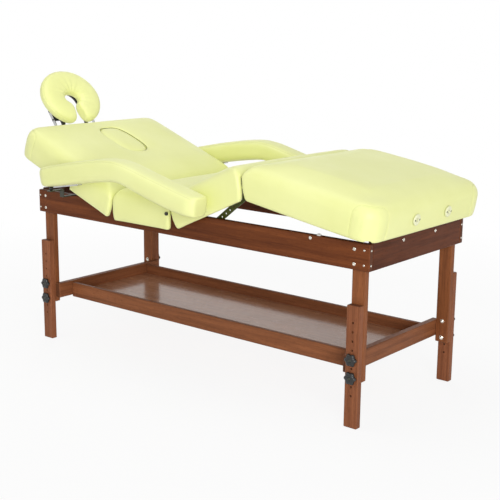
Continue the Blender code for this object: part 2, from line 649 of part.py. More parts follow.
# A bent-wire prop under the back: its foot lies over the racks on the rails
def back_prop():
    axis = empty("back_prop_axis", back, (PROP_PIVOT[0], 0.0, PROP_PIVOT[1]), PROP_ANGLE)
    bend = 0.018
    half_route = [(0.0, -PROP_Y + 0.036), (0.0, -PROP_Y + bend)]
    for step in range(1, 4):
        angle = math.pi / 2 * step / 4
        half_route.append((bend * (1 - math.cos(angle)), -PROP_Y + bend * (1 - math.sin(angle))))
    half_route += [(bend, -PROP_Y), (PROP_LENGTH - bend, -PROP_Y)]
    for step in range(1, 4):
        angle = math.pi / 2 * step / 4
        half_route.append((PROP_LENGTH - bend + bend * math.sin(angle), -PROP_Y + bend * (1 - math.cos(angle))))
    half_route.append((PROP_LENGTH, -PROP_Y + bend))
    route = half_route + [(x, -y) for x, y in reversed(half_route)]
    curve = bpy.data.curves.new("back_prop", "CURVE")
    curve.dimensions = "3D"
    curve.bevel_depth = PROP_RADIUS
    curve.bevel_resolution = 2
    curve.use_fill_caps = True
    spline = curve.splines.new("POLY")
    spline.points.add(len(route) - 1)
    for point, (x, y) in zip(spline.points, route):
        point.co = (x, y, 0.0, 1.0)
    made = bpy.data.objects.new("back_prop", curve)
    made.parent = axis
    tag, colour, roughness, metallic = STEEL
    curve.materials.append(material(f"back_prop_{tag}", colour, roughness, metallic))
    parts.objects.link(made)


seat_section()
back_section()
thigh_section()
leg_section()
hinge("back_hinge", seat, BACK_AXIS_X, 1, back, 0.0)
hinge("thigh_hinge", seat, THIGH_AXIS_X, -1, thigh, 0.0)
hinge("knee_hinge", thigh, THIGH_LENGTH, -1, leg, 0.0)
back_prop()


# Armrests: an arched pad on a steel bar, carried by a plate on the rail and a web in the seat's gap
def arm_station(t):
    point = smooth_point(ARM_PATH, t)
    ahead = smooth_point(ARM_PATH, min(t + 0.004, 1.0)) - smooth_point(ARM_PATH, max(t - 0.004, 0.0))
    along = ahead.normalized()
    return point, Vector((-along.y, along.x))


def arm_half_height(t):
    """The pad's half height at t, smooth between the stations of its path."""
    last = len(ARM_HALF_HEIGHTS) - 1
    heights = [(i / last, height) for i, height in enumerate(ARM_HALF_HEIGHTS)]
    return smooth_point(heights, t).y


def end_swell(distance, end_round):
    """How full a pad is at a distance from its end."""
    reach = min(distance / end_round, 1.0)
    return math.sqrt(max(1.0 - (1.0 - reach) ** 2, 0.0))


def arm_ring(t, sign, y_half, z_half, power, count):
    point, up = arm_station(t)
    ring = []
    for a, b in power_oval(y_half, z_half, power, count):
        ring.append((point.x + up.x * b, sign * (ARM_Y + a), point.y + up.y * b))
    return ring


def armrest(side, sign):
    lift = empty(f"armrest_{side}_lift", table, (0.0, 0.0, 0.0))
    head, foot = ARM_PATH[0][0], ARM_PATH[-1][0]
    rings = []
    for i in range(ARM_STATIONS + 1):
        t = 0.5 - 0.5 * math.cos(math.pi * i / ARM_STATIONS)
        x = arm_station(t)[0].x
        swell = end_swell(min(x - head, foot - x), ARM_END_ROUND)
        rings.append(arm_ring(t, sign, ARM_HALF_WIDTH * (0.45 + 0.55 * swell),
                              arm_half_height(t) * (0.95 + 0.05 * swell), ARM_POWER, 20))
    loft(f"armrest_pad_{side}", VINYL, lift, rings)
    start, stop = ARM_BAR_SPAN
    rings = []
    for i in range(9):
        t = start + (stop - start) * i / 8
        point, up = arm_station(t)
        drop = arm_half_height(t) + GAP + ARM_BAR_THICKNESS / 2
        ring = []
        for a, b in ((1, 1), (-1, 1), (-1, -1), (1, -1)):
            depth = b * ARM_BAR_THICKNESS / 2 - drop
            ring.append((point.x + up.x * depth, sign * (ARM_Y + a * ARM_BAR_HALF_WIDTH), point.y + up.y * depth))
        rings.append(ring)
    loft(f"armrest_bar_{side}", STEEL, lift, rings)


def armrest_plate(side, sign):
    low = RAIL_TOP + GAP
    rail_inner = RAIL_INNER
    xs = (ARM_PLATE_X - ARM_PLATE_HALF, ARM_PLATE_X + ARM_PLATE_HALF)
    step = ARM_STEP_Y + ARM_PLATE_THICKNESS
    plate = block(f"armrest_plate_{side}", DARK_STEEL, table, xs, (sign * (rail_inner + 0.001), sign * step),
                  (low, low + ARM_PLATE_THICKNESS))
    riser = block(f"armrest_riser_{side}", None, table, xs, (sign * ARM_STEP_Y, sign * step), (low, ARM_STEP_TOP))
    shelf_arm = block(f"armrest_shelf_{side}", None, table, xs, (sign * ARM_STEP_Y, sign * (ARM_Y + 0.013)),
                      (ARM_STEP_TOP - ARM_PLATE_THICKNESS, ARM_STEP_TOP))
    stud = rod(f"armrest_stud_{side}", None, table, 0.004, (ARM_PLATE_X, sign * ARM_Y, ARM_STEP_TOP - 0.002),
               (ARM_PLATE_X, sign * ARM_Y, ARM_STUD_TOP), 12)
    join(plate, riser, shelf_arm, stud)
    axis = empty(f"armrest_knob_{side}_axis", table, (ARM_PLATE_X, sign * ARM_Y, 0.0))
    knob = rod(f"armrest_knob_{side}", BLACK, axis, ARM_KNOB_RADIUS, (0, 0, ARM_STEP_TOP + GAP), (0, 0, ARM_KNOB_TOP))
    cut(knob, rod(f"armrest_knob_bore_{side}", None, axis, 0.0046, (0, 0, 0.6), (0, 0, 0.8), 12))


def armrest_web(side, sign):
    low, high = ARM_STRAP_Y
    wide = (THIGH_AXIS_X - ARM_STRAP_HALF, THIGH_AXIS_X + ARM_STRAP_HALF)
    foot = RAIL_TOP + GAP
    web_top = foot + 0.003
    samples = [i / 400 for i in range(401)]
    over = [t for t in samples if abs(smooth_point(ARM_PATH, t).x - THIGH_AXIS_X) < ARM_STRAP_HALF + 0.003]
    pad_under = min(smooth_point(ARM_PATH, t).y - 1.025 * arm_half_height(t) for t in over) - GAP
    plate = block(f"armrest_web_{side}", DARK_STEEL, table, (THIGH_AXIS_X - 0.02, THIGH_AXIS_X + 0.02),
                  (sign * (RAIL_INNER + 0.001), sign * (FRAME_WIDTH / 2 - 0.001)), (foot, web_top))
    web = block(f"web_arm_{side}", None, table, (THIGH_AXIS_X - ARM_WEB_HALF, THIGH_AXIS_X + ARM_WEB_HALF),
                (sign * (RAIL_INNER + 0.002), sign * (high - 0.001)), (foot + 0.0005, web_top + 0.001))
    strap = block(f"web_strap_{side}", None, table, wide, (sign * low, sign * high), (ARM_STRAP_LOW, pad_under))
    tongue = block(f"web_tongue_{side}", None, table, wide, (sign * low, sign * (ARM_Y + 0.01)),
                   (pad_under - ARM_TONGUE_HEIGHT, pad_under))
    pin_end = rod(f"web_pin_end_{side}", None, table, PIN_END_RADIUS,
                  (THIGH_AXIS_X, sign * (high - 0.001), AXIS_HEIGHT),
                  (THIGH_AXIS_X, sign * (high + PIN_END_LENGTH), AXIS_HEIGHT), 14)
    join(plate, web, strap, tongue, pin_end)


for side, sign in SIDES:
    armrest(side, sign)
    armrest_plate(side, sign)
    armrest_web(side, sign)


# The face cradle: rods in the head sockets, a cross bar, and a tilting platform with its pad
def plate_route(count):
    """Middle line of the U-shaped platform in its plane, with the way across it."""
    arc_steps = count // 2
    straight_steps = count // 4
    route = []
    for i in range(straight_steps):
        route.append((CRADLE_PLATE_START + CRADLE_PLATE_STRAIGHT * i / straight_steps, -CRADLE_PLATE_ARM_Y, 0.0, -1.0))
    centre = CRADLE_PLATE_START + CRADLE_PLATE_STRAIGHT
    for i in range(arc_steps + 1):
        angle = math.pi * i / arc_steps
        out = (math.sin(angle), -math.cos(angle))
        route.append((centre + CRADLE_PLATE_ARM_Y * out[0], CRADLE_PLATE_ARM_Y * out[1], *out))
    for i in range(1, straight_steps + 1):
        route.append((centre - CRADLE_PLATE_STRAIGHT * i / straight_steps, CRADLE_PLATE_ARM_Y, 0.0, 1.0))
    return route


def ring_station(i):
    """A place on the middle line of the cushion's open ring, the way across it, and its half band and fill."""
    share = -math.cos(math.pi * i / CRADLE_STATIONS)
    angle = share * (math.pi - CRADLE_OPENING)
    along = CRADLE_RING_CENTRE + CRADLE_HALF_LENGTH * math.cos(angle)
    across = CRADLE_HALF_SPAN * math.sin(angle)
    out = Vector((math.cos(angle) / CRADLE_HALF_LENGTH, math.sin(angle) / CRADLE_HALF_SPAN)).normalized()
    to_tip = (1.0 - abs(share)) * (math.pi - CRADLE_OPENING) * (CRADLE_HALF_LENGTH + CRADLE_HALF_SPAN) / 2
    hooked = min(max((abs(angle) - math.pi / 2) / (math.pi / 2 - CRADLE_OPENING), 0.0), 1.0)
    half_band = CRADLE_HALF_BAND + (CRADLE_TIP_HALF_BAND - CRADLE_HALF_BAND) * hooked
    return along, across, out, half_band, end_swell(to_tip, CRADLE_TIP_ROUND)


def face_cradle():
    bar_x = -(BACK_LENGTH + CRADLE_REACH)
    slide = empty("cradle_slide", back, (0.0, 0.0, SOCKET_Z))
    frame = rod("cradle_frame", STEEL, slide, CRADLE_BAR, (bar_x, -CRADLE_BAR_HALF, 0), (bar_x, CRADLE_BAR_HALF, 0))
    for side, sign in SIDES:
        join(frame, rod(f"cradle_rod_{side}", None, slide, CRADLE_ROD, (bar_x, sign * SOCKET_Y, 0),
                        (bar_x + CRADLE_REACH + 0.055, sign * SOCKET_Y, 0)))
    tilt = empty("cradle_tilt", slide, (bar_x, 0.0, 0.0), CRADLE_TILT)
    low, high = CRADLE_PLATE
    rings = []
    for along, y, out_x, out_y in plate_route(32):
        ring = []
        for a, z in ((1, high), (-1, high), (-1, low), (1, low)):
            ring.append((-(along + a * CRADLE_PLATE_HALF_BAND * out_x), y + a * CRADLE_PLATE_HALF_BAND * out_y, z))
        rings.append(ring)
    platform = loft("cradle_platform", BLACK, tilt, rings)
    for side, sign in SIDES:
        inner, outer = (sign * y for y in CRADLE_CLAMP_Y)
        clamp = rod(f"cradle_clamp_{side}", None, tilt, 0.0145, (0, inner, 0), (0, outer, 0))
        arm = block(f"cradle_arm_{side}", None, tilt, (-0.012, -0.11), (inner + sign * 0.001, outer - sign * 0.001),
                    (0.007, low + 0.002))
        bore = rod(f"cradle_clamp_bore_{side}", None, tilt, CRADLE_BAR + 0.0004, (0, inner - sign * 0.01, 0),
                   (0, outer + sign * 0.01, 0))
        join(platform, clamp, arm)
        cut(platform, bore)
    middle = high + GAP + CRADLE_HALF_HEIGHT
    rings = []
    for i in range(CRADLE_STATIONS + 1):
        along, y, out, half_band, fill = ring_station(i)
        ring = []
        for a, b in power_oval(half_band * (0.55 + 0.45 * fill), CRADLE_HALF_HEIGHT * (0.65 + 0.35 * fill),
                               CRADLE_POWER, 16):
            ring.append((-(along + a * out.x), y + a * out.y, middle + b))
        rings.append(ring)
    loft("cradle_cushion", VINYL, tilt, rings)
    knob_axis = empty("cradle_knob_axis", slide, (bar_x, 0.0, 0.0))
    rod("cradle_knob", BLACK, knob_axis, 0.013, (0, -CRADLE_BAR_HALF - GAP, 0), (0, -CRADLE_BAR_HALF - 0.022, 0))


face_cradle()
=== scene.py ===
# %% [markdown]
# # Dressing a wooden massage table
# The CAD frame gives every board, leg, hinge and padded solid its place and its motion.
# This lesson adds what the frame leaves out: puffed vinyl cushions with sewn seams, grained and
# varnished wood, turned knobs and bolts, plain soft light and the camera.
# The frame is loaded first. The dressed table may not outgrow it.

# %% Load the frame
import json
import math

import bmesh
import bpy
import numpy as np
from mathutils import Matrix, Vector
from mathutils.bvhtree import BVHTree
from mathutils.kdtree import KDTree


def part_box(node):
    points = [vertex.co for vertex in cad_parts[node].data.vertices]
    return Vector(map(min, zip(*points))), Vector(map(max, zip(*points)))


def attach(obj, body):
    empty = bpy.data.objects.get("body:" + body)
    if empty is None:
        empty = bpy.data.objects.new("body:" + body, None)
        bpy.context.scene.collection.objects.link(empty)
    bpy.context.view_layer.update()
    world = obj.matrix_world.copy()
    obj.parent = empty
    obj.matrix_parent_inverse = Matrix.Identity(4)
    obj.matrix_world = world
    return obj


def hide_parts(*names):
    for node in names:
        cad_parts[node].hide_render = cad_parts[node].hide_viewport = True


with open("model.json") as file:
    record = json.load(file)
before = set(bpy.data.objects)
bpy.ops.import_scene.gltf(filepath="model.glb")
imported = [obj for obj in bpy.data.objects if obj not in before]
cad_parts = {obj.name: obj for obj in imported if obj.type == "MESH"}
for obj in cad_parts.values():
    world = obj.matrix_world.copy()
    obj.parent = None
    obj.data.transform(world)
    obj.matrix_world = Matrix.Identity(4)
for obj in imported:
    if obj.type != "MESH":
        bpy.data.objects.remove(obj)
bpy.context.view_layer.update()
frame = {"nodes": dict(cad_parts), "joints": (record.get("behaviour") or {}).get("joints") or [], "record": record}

scene = bpy.context.scene
scene.view_settings.view_transform = "Standard"
nodes = frame["nodes"]
hinge_places = {joint["name"]: joint.get("pos_m") for joint in frame["joints"]}

# %% [markdown]
# ## The camera
# The table is seen from a little above, from the corner between its near side and its foot end.
# A long lens keeps the legs nearly upright. The camera is built from its yaw, pitch and roll
# as a matrix of three directions, which is easier to check than three Euler angles.

# %% Camera
CAMERA_PLACE = Vector((2.847818, -3.2663, 1.4165))
CAMERA_YAW = math.radians(129.356)
CAMERA_PITCH = math.radians(-12.49)
CAMERA_ROLL = math.radians(0.56)
CAMERA_LENS = 75.08
SENSOR_WIDTH = 36.0


def camera_matrix():
    forward = Vector((math.cos(CAMERA_YAW) * math.cos(CAMERA_PITCH),
                      math.sin(CAMERA_YAW) * math.cos(CAMERA_PITCH), math.sin(CAMERA_PITCH)))
    level = Vector((math.sin(CAMERA_YAW), -math.cos(CAMERA_YAW), 0.0))
    upright = level.cross(forward)
    right = math.cos(CAMERA_ROLL) * level + math.sin(CAMERA_ROLL) * upright
    up = math.cos(CAMERA_ROLL) * upright - math.sin(CAMERA_ROLL) * level
    turn = Matrix((right, up, -forward)).transposed()
    return Matrix.Translation(CAMERA_PLACE) @ turn.to_4x4()


camera_data = bpy.data.cameras.new("photo_camera")
camera_data.lens = CAMERA_LENS
camera_data.sensor_width = SENSOR_WIDTH
camera = bpy.data.objects.new("photo_camera", camera_data)
camera.matrix_world = camera_matrix()
scene.collection.objects.link(camera)
scene.camera = camera
print("camera distance:", round(CAMERA_PLACE.length, 3), "m")

# %% [markdown]
# ## Nodes in short words
# Every finish below is a small shader tree. A few helpers keep them readable: they add a node with its
# settings and links, start a material with its Principled shader, start a node group with named sockets
# that several finishes share, and put a noise, a ramp or a sum in one line.

# %% Shader helpers
PLAIN_FLOAT = "NodeSocketFloat"
PLAIN_COLOUR = "NodeSocketColor"
PLAIN_VECTOR = "NodeSocketVector"


def add_node(tree, kind, links=None, values=None, **settings):
    """A node of one kind; links maps its inputs to other outputs, values sets the rest."""
    made = tree.nodes.new(kind)
    for key, value in settings.items():
        setattr(made, key, value)
    for key, value in (values or {}).items():
        made.inputs[key].default_value = value
    for key, output in (links or {}).items():
        tree.links.new(output, made.inputs[key])
    return made


def feed(tree, socket, value):
    """Give an input a plain number, a plain colour, or a link to another node's output."""
    if isinstance(value, (int, float)):
        socket.default_value = value
    elif isinstance(value, tuple):
        socket.default_value = (*value, 1.0)
    else:
        tree.links.new(value, socket)


def math_node(tree, operation, first, second, clamp=False):
    made = add_node(tree, "ShaderNodeMath", operation=operation, use_clamp=clamp)
    for socket, value in zip(made.inputs, (first, second)):
        feed(tree, socket, value)
    return made.outputs[0]


def ramp(tree, fac, stops):
    """A colour ramp; each stop is a place and a grey value or a colour."""
    made = add_node(tree, "ShaderNodeValToRGB", {"Fac": fac})
    elements = made.color_ramp.elements
    while len(elements) < len(stops):
        elements.new(0.5)
    for element, (place, value) in zip(elements, stops):
        element.position = place
        element.color = (value, value, value, 1.0) if isinstance(value, float) else (*value, 1.0)
    return made.outputs["Color"]


MIX_INPUTS = (0, 6, 7)
MIX_OUTPUT = 2


def mix_colours(tree, fac, first, second):
    """A Mix node has sockets of one name for each kind of data, so its colours go by their places."""
    made = add_node(tree, "ShaderNodeMix", data_type="RGBA")
    for place, value in zip(MIX_INPUTS, (fac, first, second)):
        feed(tree, made.inputs[place], value)
    return made.outputs[MIX_OUTPUT]


def start_group(name, inputs, outputs):
    group = bpy.data.node_groups.new(name, "ShaderNodeTree")
    for label, kind, default in inputs:
        socket = group.interface.new_socket(label, in_out="INPUT", socket_type=kind)
        if default is not None:
            socket.default_value = default
    for label, kind in outputs:
        group.interface.new_socket(label, in_out="OUTPUT", socket_type=kind)
    return group, add_node(group, "NodeGroupInput").outputs, add_node(group, "NodeGroupOutput").inputs


def start_material(name, **plain):
    made = bpy.data.materials.new(name)
    made.use_nodes = True
    shader = made.node_tree.nodes["Principled BSDF"]
    for label, value in plain.items():
        shader.inputs[label.replace("_", " ")].default_value = value
    return made, made.node_tree, shader


def object_place(tree, turn=(0.0, 0.0, 0.0), scale=(1.0, 1.0, 1.0)):
    """Object coordinates in metres, turned so that a pattern's length lies along the piece."""
    place = add_node(tree, "ShaderNodeTexCoord").outputs["Object"]
    mapped = add_node(tree, "ShaderNodeMapping", {"Vector": place}, {"Rotation": turn, "Scale": scale})
    return mapped.outputs["Vector"]


def use_group(tree, group, links, values=None):
    return add_node(tree, "ShaderNodeGroup", links, values, node_tree=group).outputs


def noise(tree, place, scale, detail, **more):
    """A noise texture's grey value."""
    values = {"Scale": scale, "Detail": detail, **{key.capitalize(): value for key, value in more.items()}}
    return add_node(tree, "ShaderNodeTexNoise", {"Vector": place}, values).outputs["Fac"]


def drawn_noise(tree, place, stretch, detail, **more):
    """Noise that is drawn out along X, because each axis has its own scale."""
    drawn = add_node(tree, "ShaderNodeMapping", {"Vector": place}, {"Scale": stretch})
    return noise(tree, drawn.outputs["Vector"], 1.0, detail, **more)


def weighted(tree, first, second, share):
    """The sum of two grey values, the first by its share and the second by the rest."""
    return math_node(tree, "ADD", math_node(tree, "MULTIPLY", first, share),
                     math_node(tree, "MULTIPLY", second, 1.0 - share))


def bump(tree, shader, height, strength, distance, normal=None):
    made = add_node(tree, "ShaderNodeBump", {"Height": height}, {"Strength": strength, "Distance": distance})
    if normal is not None:
        tree.links.new(normal, made.inputs["Normal"])
    tree.links.new(made.outputs["Normal"], shader.inputs["Normal"])


print("shader helpers ready")

# %% [markdown]
# ## Floor, white surroundings and soft light
# The table stands on a pale studio floor in front of plain white. The world is white where the
# camera, a reflection or a refraction sees it, and a softer white where it only lights the table.
# The floor does the same, and keeps a share of real shading so that the table's shadow stays.
# One wide low lamp beside the camera makes the upright faces a little brighter than the tops, and a
# fainter one overhead lights the tops. A third lamp, without a reflection of its own, lights the far
# side and the head end.

# %% Stage and lamps
AMBIENT_LEVEL = 0.40
FLOOR_GLOW = 0.88
FLOOR_FADE = 3.2
FLOOR_HALF = 14.0
FLOOR_DROP = 0.0006
LIGHT_TARGET = Vector((0.0, 0.0, 0.55))
KEY_PLACE, KEY_SIZE, KEY_POWER = (7.92, -7.26, 2.86), 5.5, 740.0
FILL_PLACE, FILL_SIZE, FILL_POWER = (-7.0, 7.0, 2.2), 5.0, 280.0
TOP_LAMP_PLACE, TOP_LAMP_SIZE, TOP_LAMP_POWER = (-0.4, -0.6, 4.2), 2.6, 40.0
WHITE = (1.0, 1.0, 1.0, 1.0)
FLOOR_COLOUR = (0.96, 0.96, 0.96, 1.0)
FLOOR_RAMP = ((0.0, 0.0), (0.5, 1.0))


def seen_directly(tree):
    path = add_node(tree, "ShaderNodeLightPath").outputs
    seen = math_node(tree, "ADD", path["Is Camera Ray"], path["Is Glossy Ray"])
    return math_node(tree, "ADD", seen, path["Is Transmission Ray"], clamp=True)


def white_world():
    world = bpy.data.worlds.new("white_studio")
    world.use_nodes = True
    tree = world.node_tree
    tree.nodes.clear()
    lighting = add_node(tree, "ShaderNodeBackground", values={"Color": WHITE, "Strength": AMBIENT_LEVEL})
    shown = add_node(tree, "ShaderNodeBackground", values={"Color": WHITE, "Strength": 1.0})
    both = add_node(tree, "ShaderNodeMixShader",
                    {0: seen_directly(tree), 1: lighting.outputs[0], 2: shown.outputs[0]})
    add_node(tree, "ShaderNodeOutputWorld", {"Surface": both.outputs[0]})
    scene.world = world


def studio_floor():
    bm = bmesh.new()
    bmesh.ops.create_grid(bm, x_segments=1, y_segments=1, size=FLOOR_HALF)
    bmesh.ops.translate(bm, verts=bm.verts, vec=(0.0, 0.0, -FLOOR_DROP))
    mesh = bpy.data.meshes.new("studio_floor")
    bm.to_mesh(mesh)
    bm.free()
    look = bpy.data.materials.new("studio_floor")
    look.use_nodes = True
    tree = look.node_tree
    tree.nodes.clear()
    shaded = add_node(tree, "ShaderNodeBsdfDiffuse", values={"Color": FLOOR_COLOUR})
    glow = add_node(tree, "ShaderNodeEmission", values={"Strength": 1.0})
    place = object_place(tree, scale=(1.0 / FLOOR_FADE,) * 3)
    near = add_node(tree, "ShaderNodeTexGradient", {"Vector": place}, gradient_type="SPHERICAL")
    dim = math_node(tree, "MULTIPLY", ramp(tree, near.outputs["Fac"], FLOOR_RAMP), 1.0 - FLOOR_GLOW)
    share = math_node(tree, "MULTIPLY", seen_directly(tree), math_node(tree, "SUBTRACT", 1.0, dim))
    both = add_node(tree, "ShaderNodeMixShader", {0: share, 1: shaded.outputs[0], 2: glow.outputs[0]})
    add_node(tree, "ShaderNodeOutputMaterial", {"Surface": both.outputs[0]})
    mesh.materials.append(look)
    floor = bpy.data.objects.new("studio_floor", mesh)
    scene.collection.objects.link(floor)


def soft_lamp(name, place, size, power):
    lamp = bpy.data.lights.new(name, "AREA")
    lamp.shape = "DISK"
    lamp.size = size
    lamp.energy = power
    holder = bpy.data.objects.new(name, lamp)
    holder.location = place
    holder.rotation_euler = (LIGHT_TARGET - Vector(place)).to_track_quat("-Z", "Y").to_euler()
    scene.collection.objects.link(holder)
    return holder


white_world()
studio_floor()
soft_lamp("key_lamp", KEY_PLACE, KEY_SIZE, KEY_POWER)
soft_lamp("far_side_lamp", FILL_PLACE, FILL_SIZE, FILL_POWER).visible_glossy = False
soft_lamp("top_lamp", TOP_LAMP_PLACE, TOP_LAMP_SIZE, TOP_LAMP_POWER)
print("stage and lamps ready")

# %% [markdown]
# ## Effects that several finishes share
# Wood, steel and plastic all show rubbed edges and faint handling marks, so each effect is one
# node group. On wood the pale edge is both wear and a painted highlight along the eased edges. The
# edge mask compares the true normal with a rounded one: they differ only near an edge. The rounded
# normal also softens the look of the machined edges.

# %% Shared groups
EDGE_MASK_RAMP, PATCH_RAMP = ((0.02, 0.0), (0.22, 1.0)), ((0.35, 0.2), (0.65, 1.0))
EDGE_MASK_RADIUS, PATCH_SCALE = 0.003, 35.0
SMUDGE_SCALE, HAIR_SCALE, SMUDGE_SHARE = 9.0, 120.0, 0.7
BAND_STRETCH, BAND_RAMP, BAND_SHARE = (1.6, 34.0, 34.0), ((0.30, 0.0), (0.70, 1.0)), 0.62
STREAK_STRETCH, STREAK_RAMP = (7.0, 260.0, 260.0), ((0.30, 0.0), (0.72, 1.0))
PORE_STRETCH, PIT_RAMP, PIT_SHARE = (45.0, 1100.0, 1100.0), ((0.30, 0.0), (0.42, 1.0)), 0.6
SAWN_RAMP = ((0.80, 0.0), (0.95, 1.0))
WARP_SCALE, WARP_REACH = 260.0, (0.0016, 0.0016, 0.0016)
PEBBLE_SCALE, PEBBLE_RAMP = 620.0, ((0.0, 0.0), (0.28, 1.0))
DRIFT_SCALE = 5.0


def edge_wear_and_highlight_group():
    group, given, out = start_group(
        "edge_wear_and_highlight", [("Radius", PLAIN_FLOAT, EDGE_MASK_RADIUS), ("Vector", PLAIN_VECTOR, None)],
        [("Mask", PLAIN_FLOAT), ("Normal", PLAIN_VECTOR)])
    rounded = add_node(group, "ShaderNodeBevel", {"Radius": given["Radius"]}, samples=4)
    true = add_node(group, "ShaderNodeNewGeometry")
    apart = add_node(group, "ShaderNodeVectorMath", {0: rounded.outputs[0], 1: true.outputs["Normal"]},
                     operation="DOT_PRODUCT")
    edge_mask = math_node(group, "SUBTRACT", 1.0, apart.outputs["Value"], clamp=True)
    patches = noise(group, given["Vector"], PATCH_SCALE, 4.0)
    patchy = math_node(group, "MULTIPLY", ramp(group, edge_mask, EDGE_MASK_RAMP), ramp(group, patches, PATCH_RAMP))
    group.links.new(patchy, out["Mask"])
    group.links.new(rounded.outputs[0], out["Normal"])
    return group


def marks_group():
    """Faint smudges and hairline scratches, as a grey mask around one half."""
    group, given, out = start_group("handling_marks", [("Vector", PLAIN_VECTOR, None)],
                                    [("Mask", PLAIN_FLOAT)])
    smudge = noise(group, given["Vector"], SMUDGE_SCALE, 5.0)
    hair = noise(group, given["Vector"], HAIR_SCALE, 2.0, distortion=2.5)
    group.links.new(weighted(group, smudge, hair, SMUDGE_SHARE), out["Mask"])
    return group


def mahogany_group():
    """Stained open-grained wood whose length lies along X."""
    group, given, out = start_group(
        "mahogany_figure",
        [("Vector", PLAIN_VECTOR, None), ("Dark", PLAIN_COLOUR, None), ("Light", PLAIN_COLOUR, None)],
        [("Color", PLAIN_COLOUR), ("Height", PLAIN_FLOAT)])
    bands = drawn_noise(group, given["Vector"], BAND_STRETCH, 5.0, roughness=0.6, distortion=0.8)
    streaks = drawn_noise(group, given["Vector"], STREAK_STRETCH, 3.0, roughness=0.7)
    pores = drawn_noise(group, given["Vector"], PORE_STRETCH, 2.0)
    fine = ramp(group, streaks, STREAK_RAMP)
    pit = ramp(group, pores, PIT_RAMP)
    blend = weighted(group, ramp(group, bands, BAND_RAMP), fine, BAND_SHARE)
    colour = mix_colours(group, blend, given["Dark"], given["Light"])
    colour = mix_colours(group, math_node(group, "SUBTRACT", 1.0, pit), colour, given["Dark"])
    group.links.new(colour, out["Color"])
    group.links.new(weighted(group, pit, fine, PIT_SHARE), out["Height"])
    return group


def end_grain_group():
    """1 on the sawn ends of a board whose length lies along X, 0 on its long faces."""
    group, given, out = start_group("end_grain", [("Normal", PLAIN_VECTOR, None)], [("Mask", PLAIN_FLOAT)])
    facing = add_node(group, "ShaderNodeSeparateXYZ", {"Vector": given["Normal"]}).outputs["X"]
    steep = math_node(group, "ABSOLUTE", facing, 0.0)
    group.links.new(ramp(group, steep, SAWN_RAMP), out["Mask"])
    return group


def vinyl_group():
    """Soft upholstery grain: small pebbles between fine creases, and a slow drift of tone."""
    group, given, out = start_group("vinyl_grain", [("Vector", PLAIN_VECTOR, None)],
                                    [("Height", PLAIN_FLOAT), ("Drift", PLAIN_FLOAT)])
    warp = add_node(group, "ShaderNodeTexNoise", {"Vector": given["Vector"]},
                    {"Scale": WARP_SCALE, "Detail": 2.0})
    shaken = add_node(group, "ShaderNodeVectorMath", {0: warp.outputs["Color"]}, {1: WARP_REACH},
                      operation="MULTIPLY")
    place = add_node(group, "ShaderNodeVectorMath", {0: given["Vector"], 1: shaken.outputs[0]},
                     operation="ADD")
    pebble = add_node(group, "ShaderNodeTexVoronoi", {"Vector": place.outputs[0]}, {"Scale": PEBBLE_SCALE},
                      feature="DISTANCE_TO_EDGE")
    drift = noise(group, given["Vector"], DRIFT_SCALE, 4.0, roughness=0.55)
    group.links.new(ramp(group, pebble.outputs["Distance"], PEBBLE_RAMP), out["Height"])
    group.links.new(drift, out["Drift"])
    return group


EDGE_WEAR_AND_HIGHLIGHT = edge_wear_and_highlight_group()
MARKS = marks_group()
MAHOGANY = mahogany_group()
END_GRAIN = end_grain_group()
VINYL_GRAIN = vinyl_group()
print("node groups:", [group.name for group in bpy.data.node_groups])

# %% [markdown]
# ## The finishes
# The pads are a pale lemon vinyl, the frame a red-brown mahogany stain under satin varnish, and the
# shelf panel the same stain under gloss. Wood needs one finish for each way a board can lie, because
# grain runs along a board. Colours are written as they should look under plain light, except that the
# one stain's tones differ from part to part as painted light and shade: darker on the end rails, paler
# on the legs and the shelf, and palest on the panel under the table.

# %% Wood finishes
# Painted light and shade: the rails have the base tones, the end rails darker ones, and the shelf, the legs and
# the panel paler ones.
RAIL_TONES = (0.072, 0.018, 0.006, 1.0), (0.225, 0.066, 0.020, 1.0)
END_RAIL_PAINTED_SHADE_TONES = (0.050, 0.013, 0.005, 1.0), (0.155, 0.044, 0.015, 1.0)
SHELF_PAINTED_LIGHT_TONES = (0.110, 0.036, 0.015, 1.0), (0.340, 0.124, 0.050, 1.0)
FIXED_LEG_PAINTED_LIGHT_TONES = (0.125, 0.040, 0.015, 1.0), (0.370, 0.128, 0.046, 1.0)
SLIDING_LEG_PAINTED_LIGHT_TONES = (0.130, 0.042, 0.018, 1.0), (0.370, 0.135, 0.060, 1.0)
PANEL_PAINTED_LIGHT_TONES = (0.340, 0.150, 0.080, 1.0), (0.660, 0.330, 0.185, 1.0)
HIDDEN_TONES = (0.012, 0.008, 0.006, 1.0), (0.030, 0.020, 0.014, 1.0)
# The pale edge tone is partly rubbed wear and partly a painted highlight along the eased edges.
WOOD_WEAR_AND_HIGHLIGHT, WEAR_AND_HIGHLIGHT_SHARE = (0.26, 0.11, 0.055), 0.45
SAWN_END, SAWN_SHARE = (0.060, 0.026, 0.016), 0.55
SATIN, GLOSS, BARE = (0.36, 0.52), (0.20, 0.32), (0.6, 0.8)
RAIL_COAT, LEG_COAT, PANEL_COAT = 0.02, 0.03, 0.55
COAT_ROUGHNESS = 0.12
WOOD_SPECULAR = 0.09
WOOD_EDGE = 0.0022
PORE_BUMP, PORE_DEPTH = 0.25, 0.0004
QUARTER = math.pi / 2
GRAIN_TURNS = {"x": (0.0, 0.0, 0.0), "y": (0.0, 0.0, QUARTER), "z": (0.0, QUARTER, 0.0)}


def smudged(tree, marks, rough):
    """Roughness between two values, by the handling marks."""
    return ramp(tree, marks["Mask"], ((0.3, rough[0]), (0.7, rough[1])))


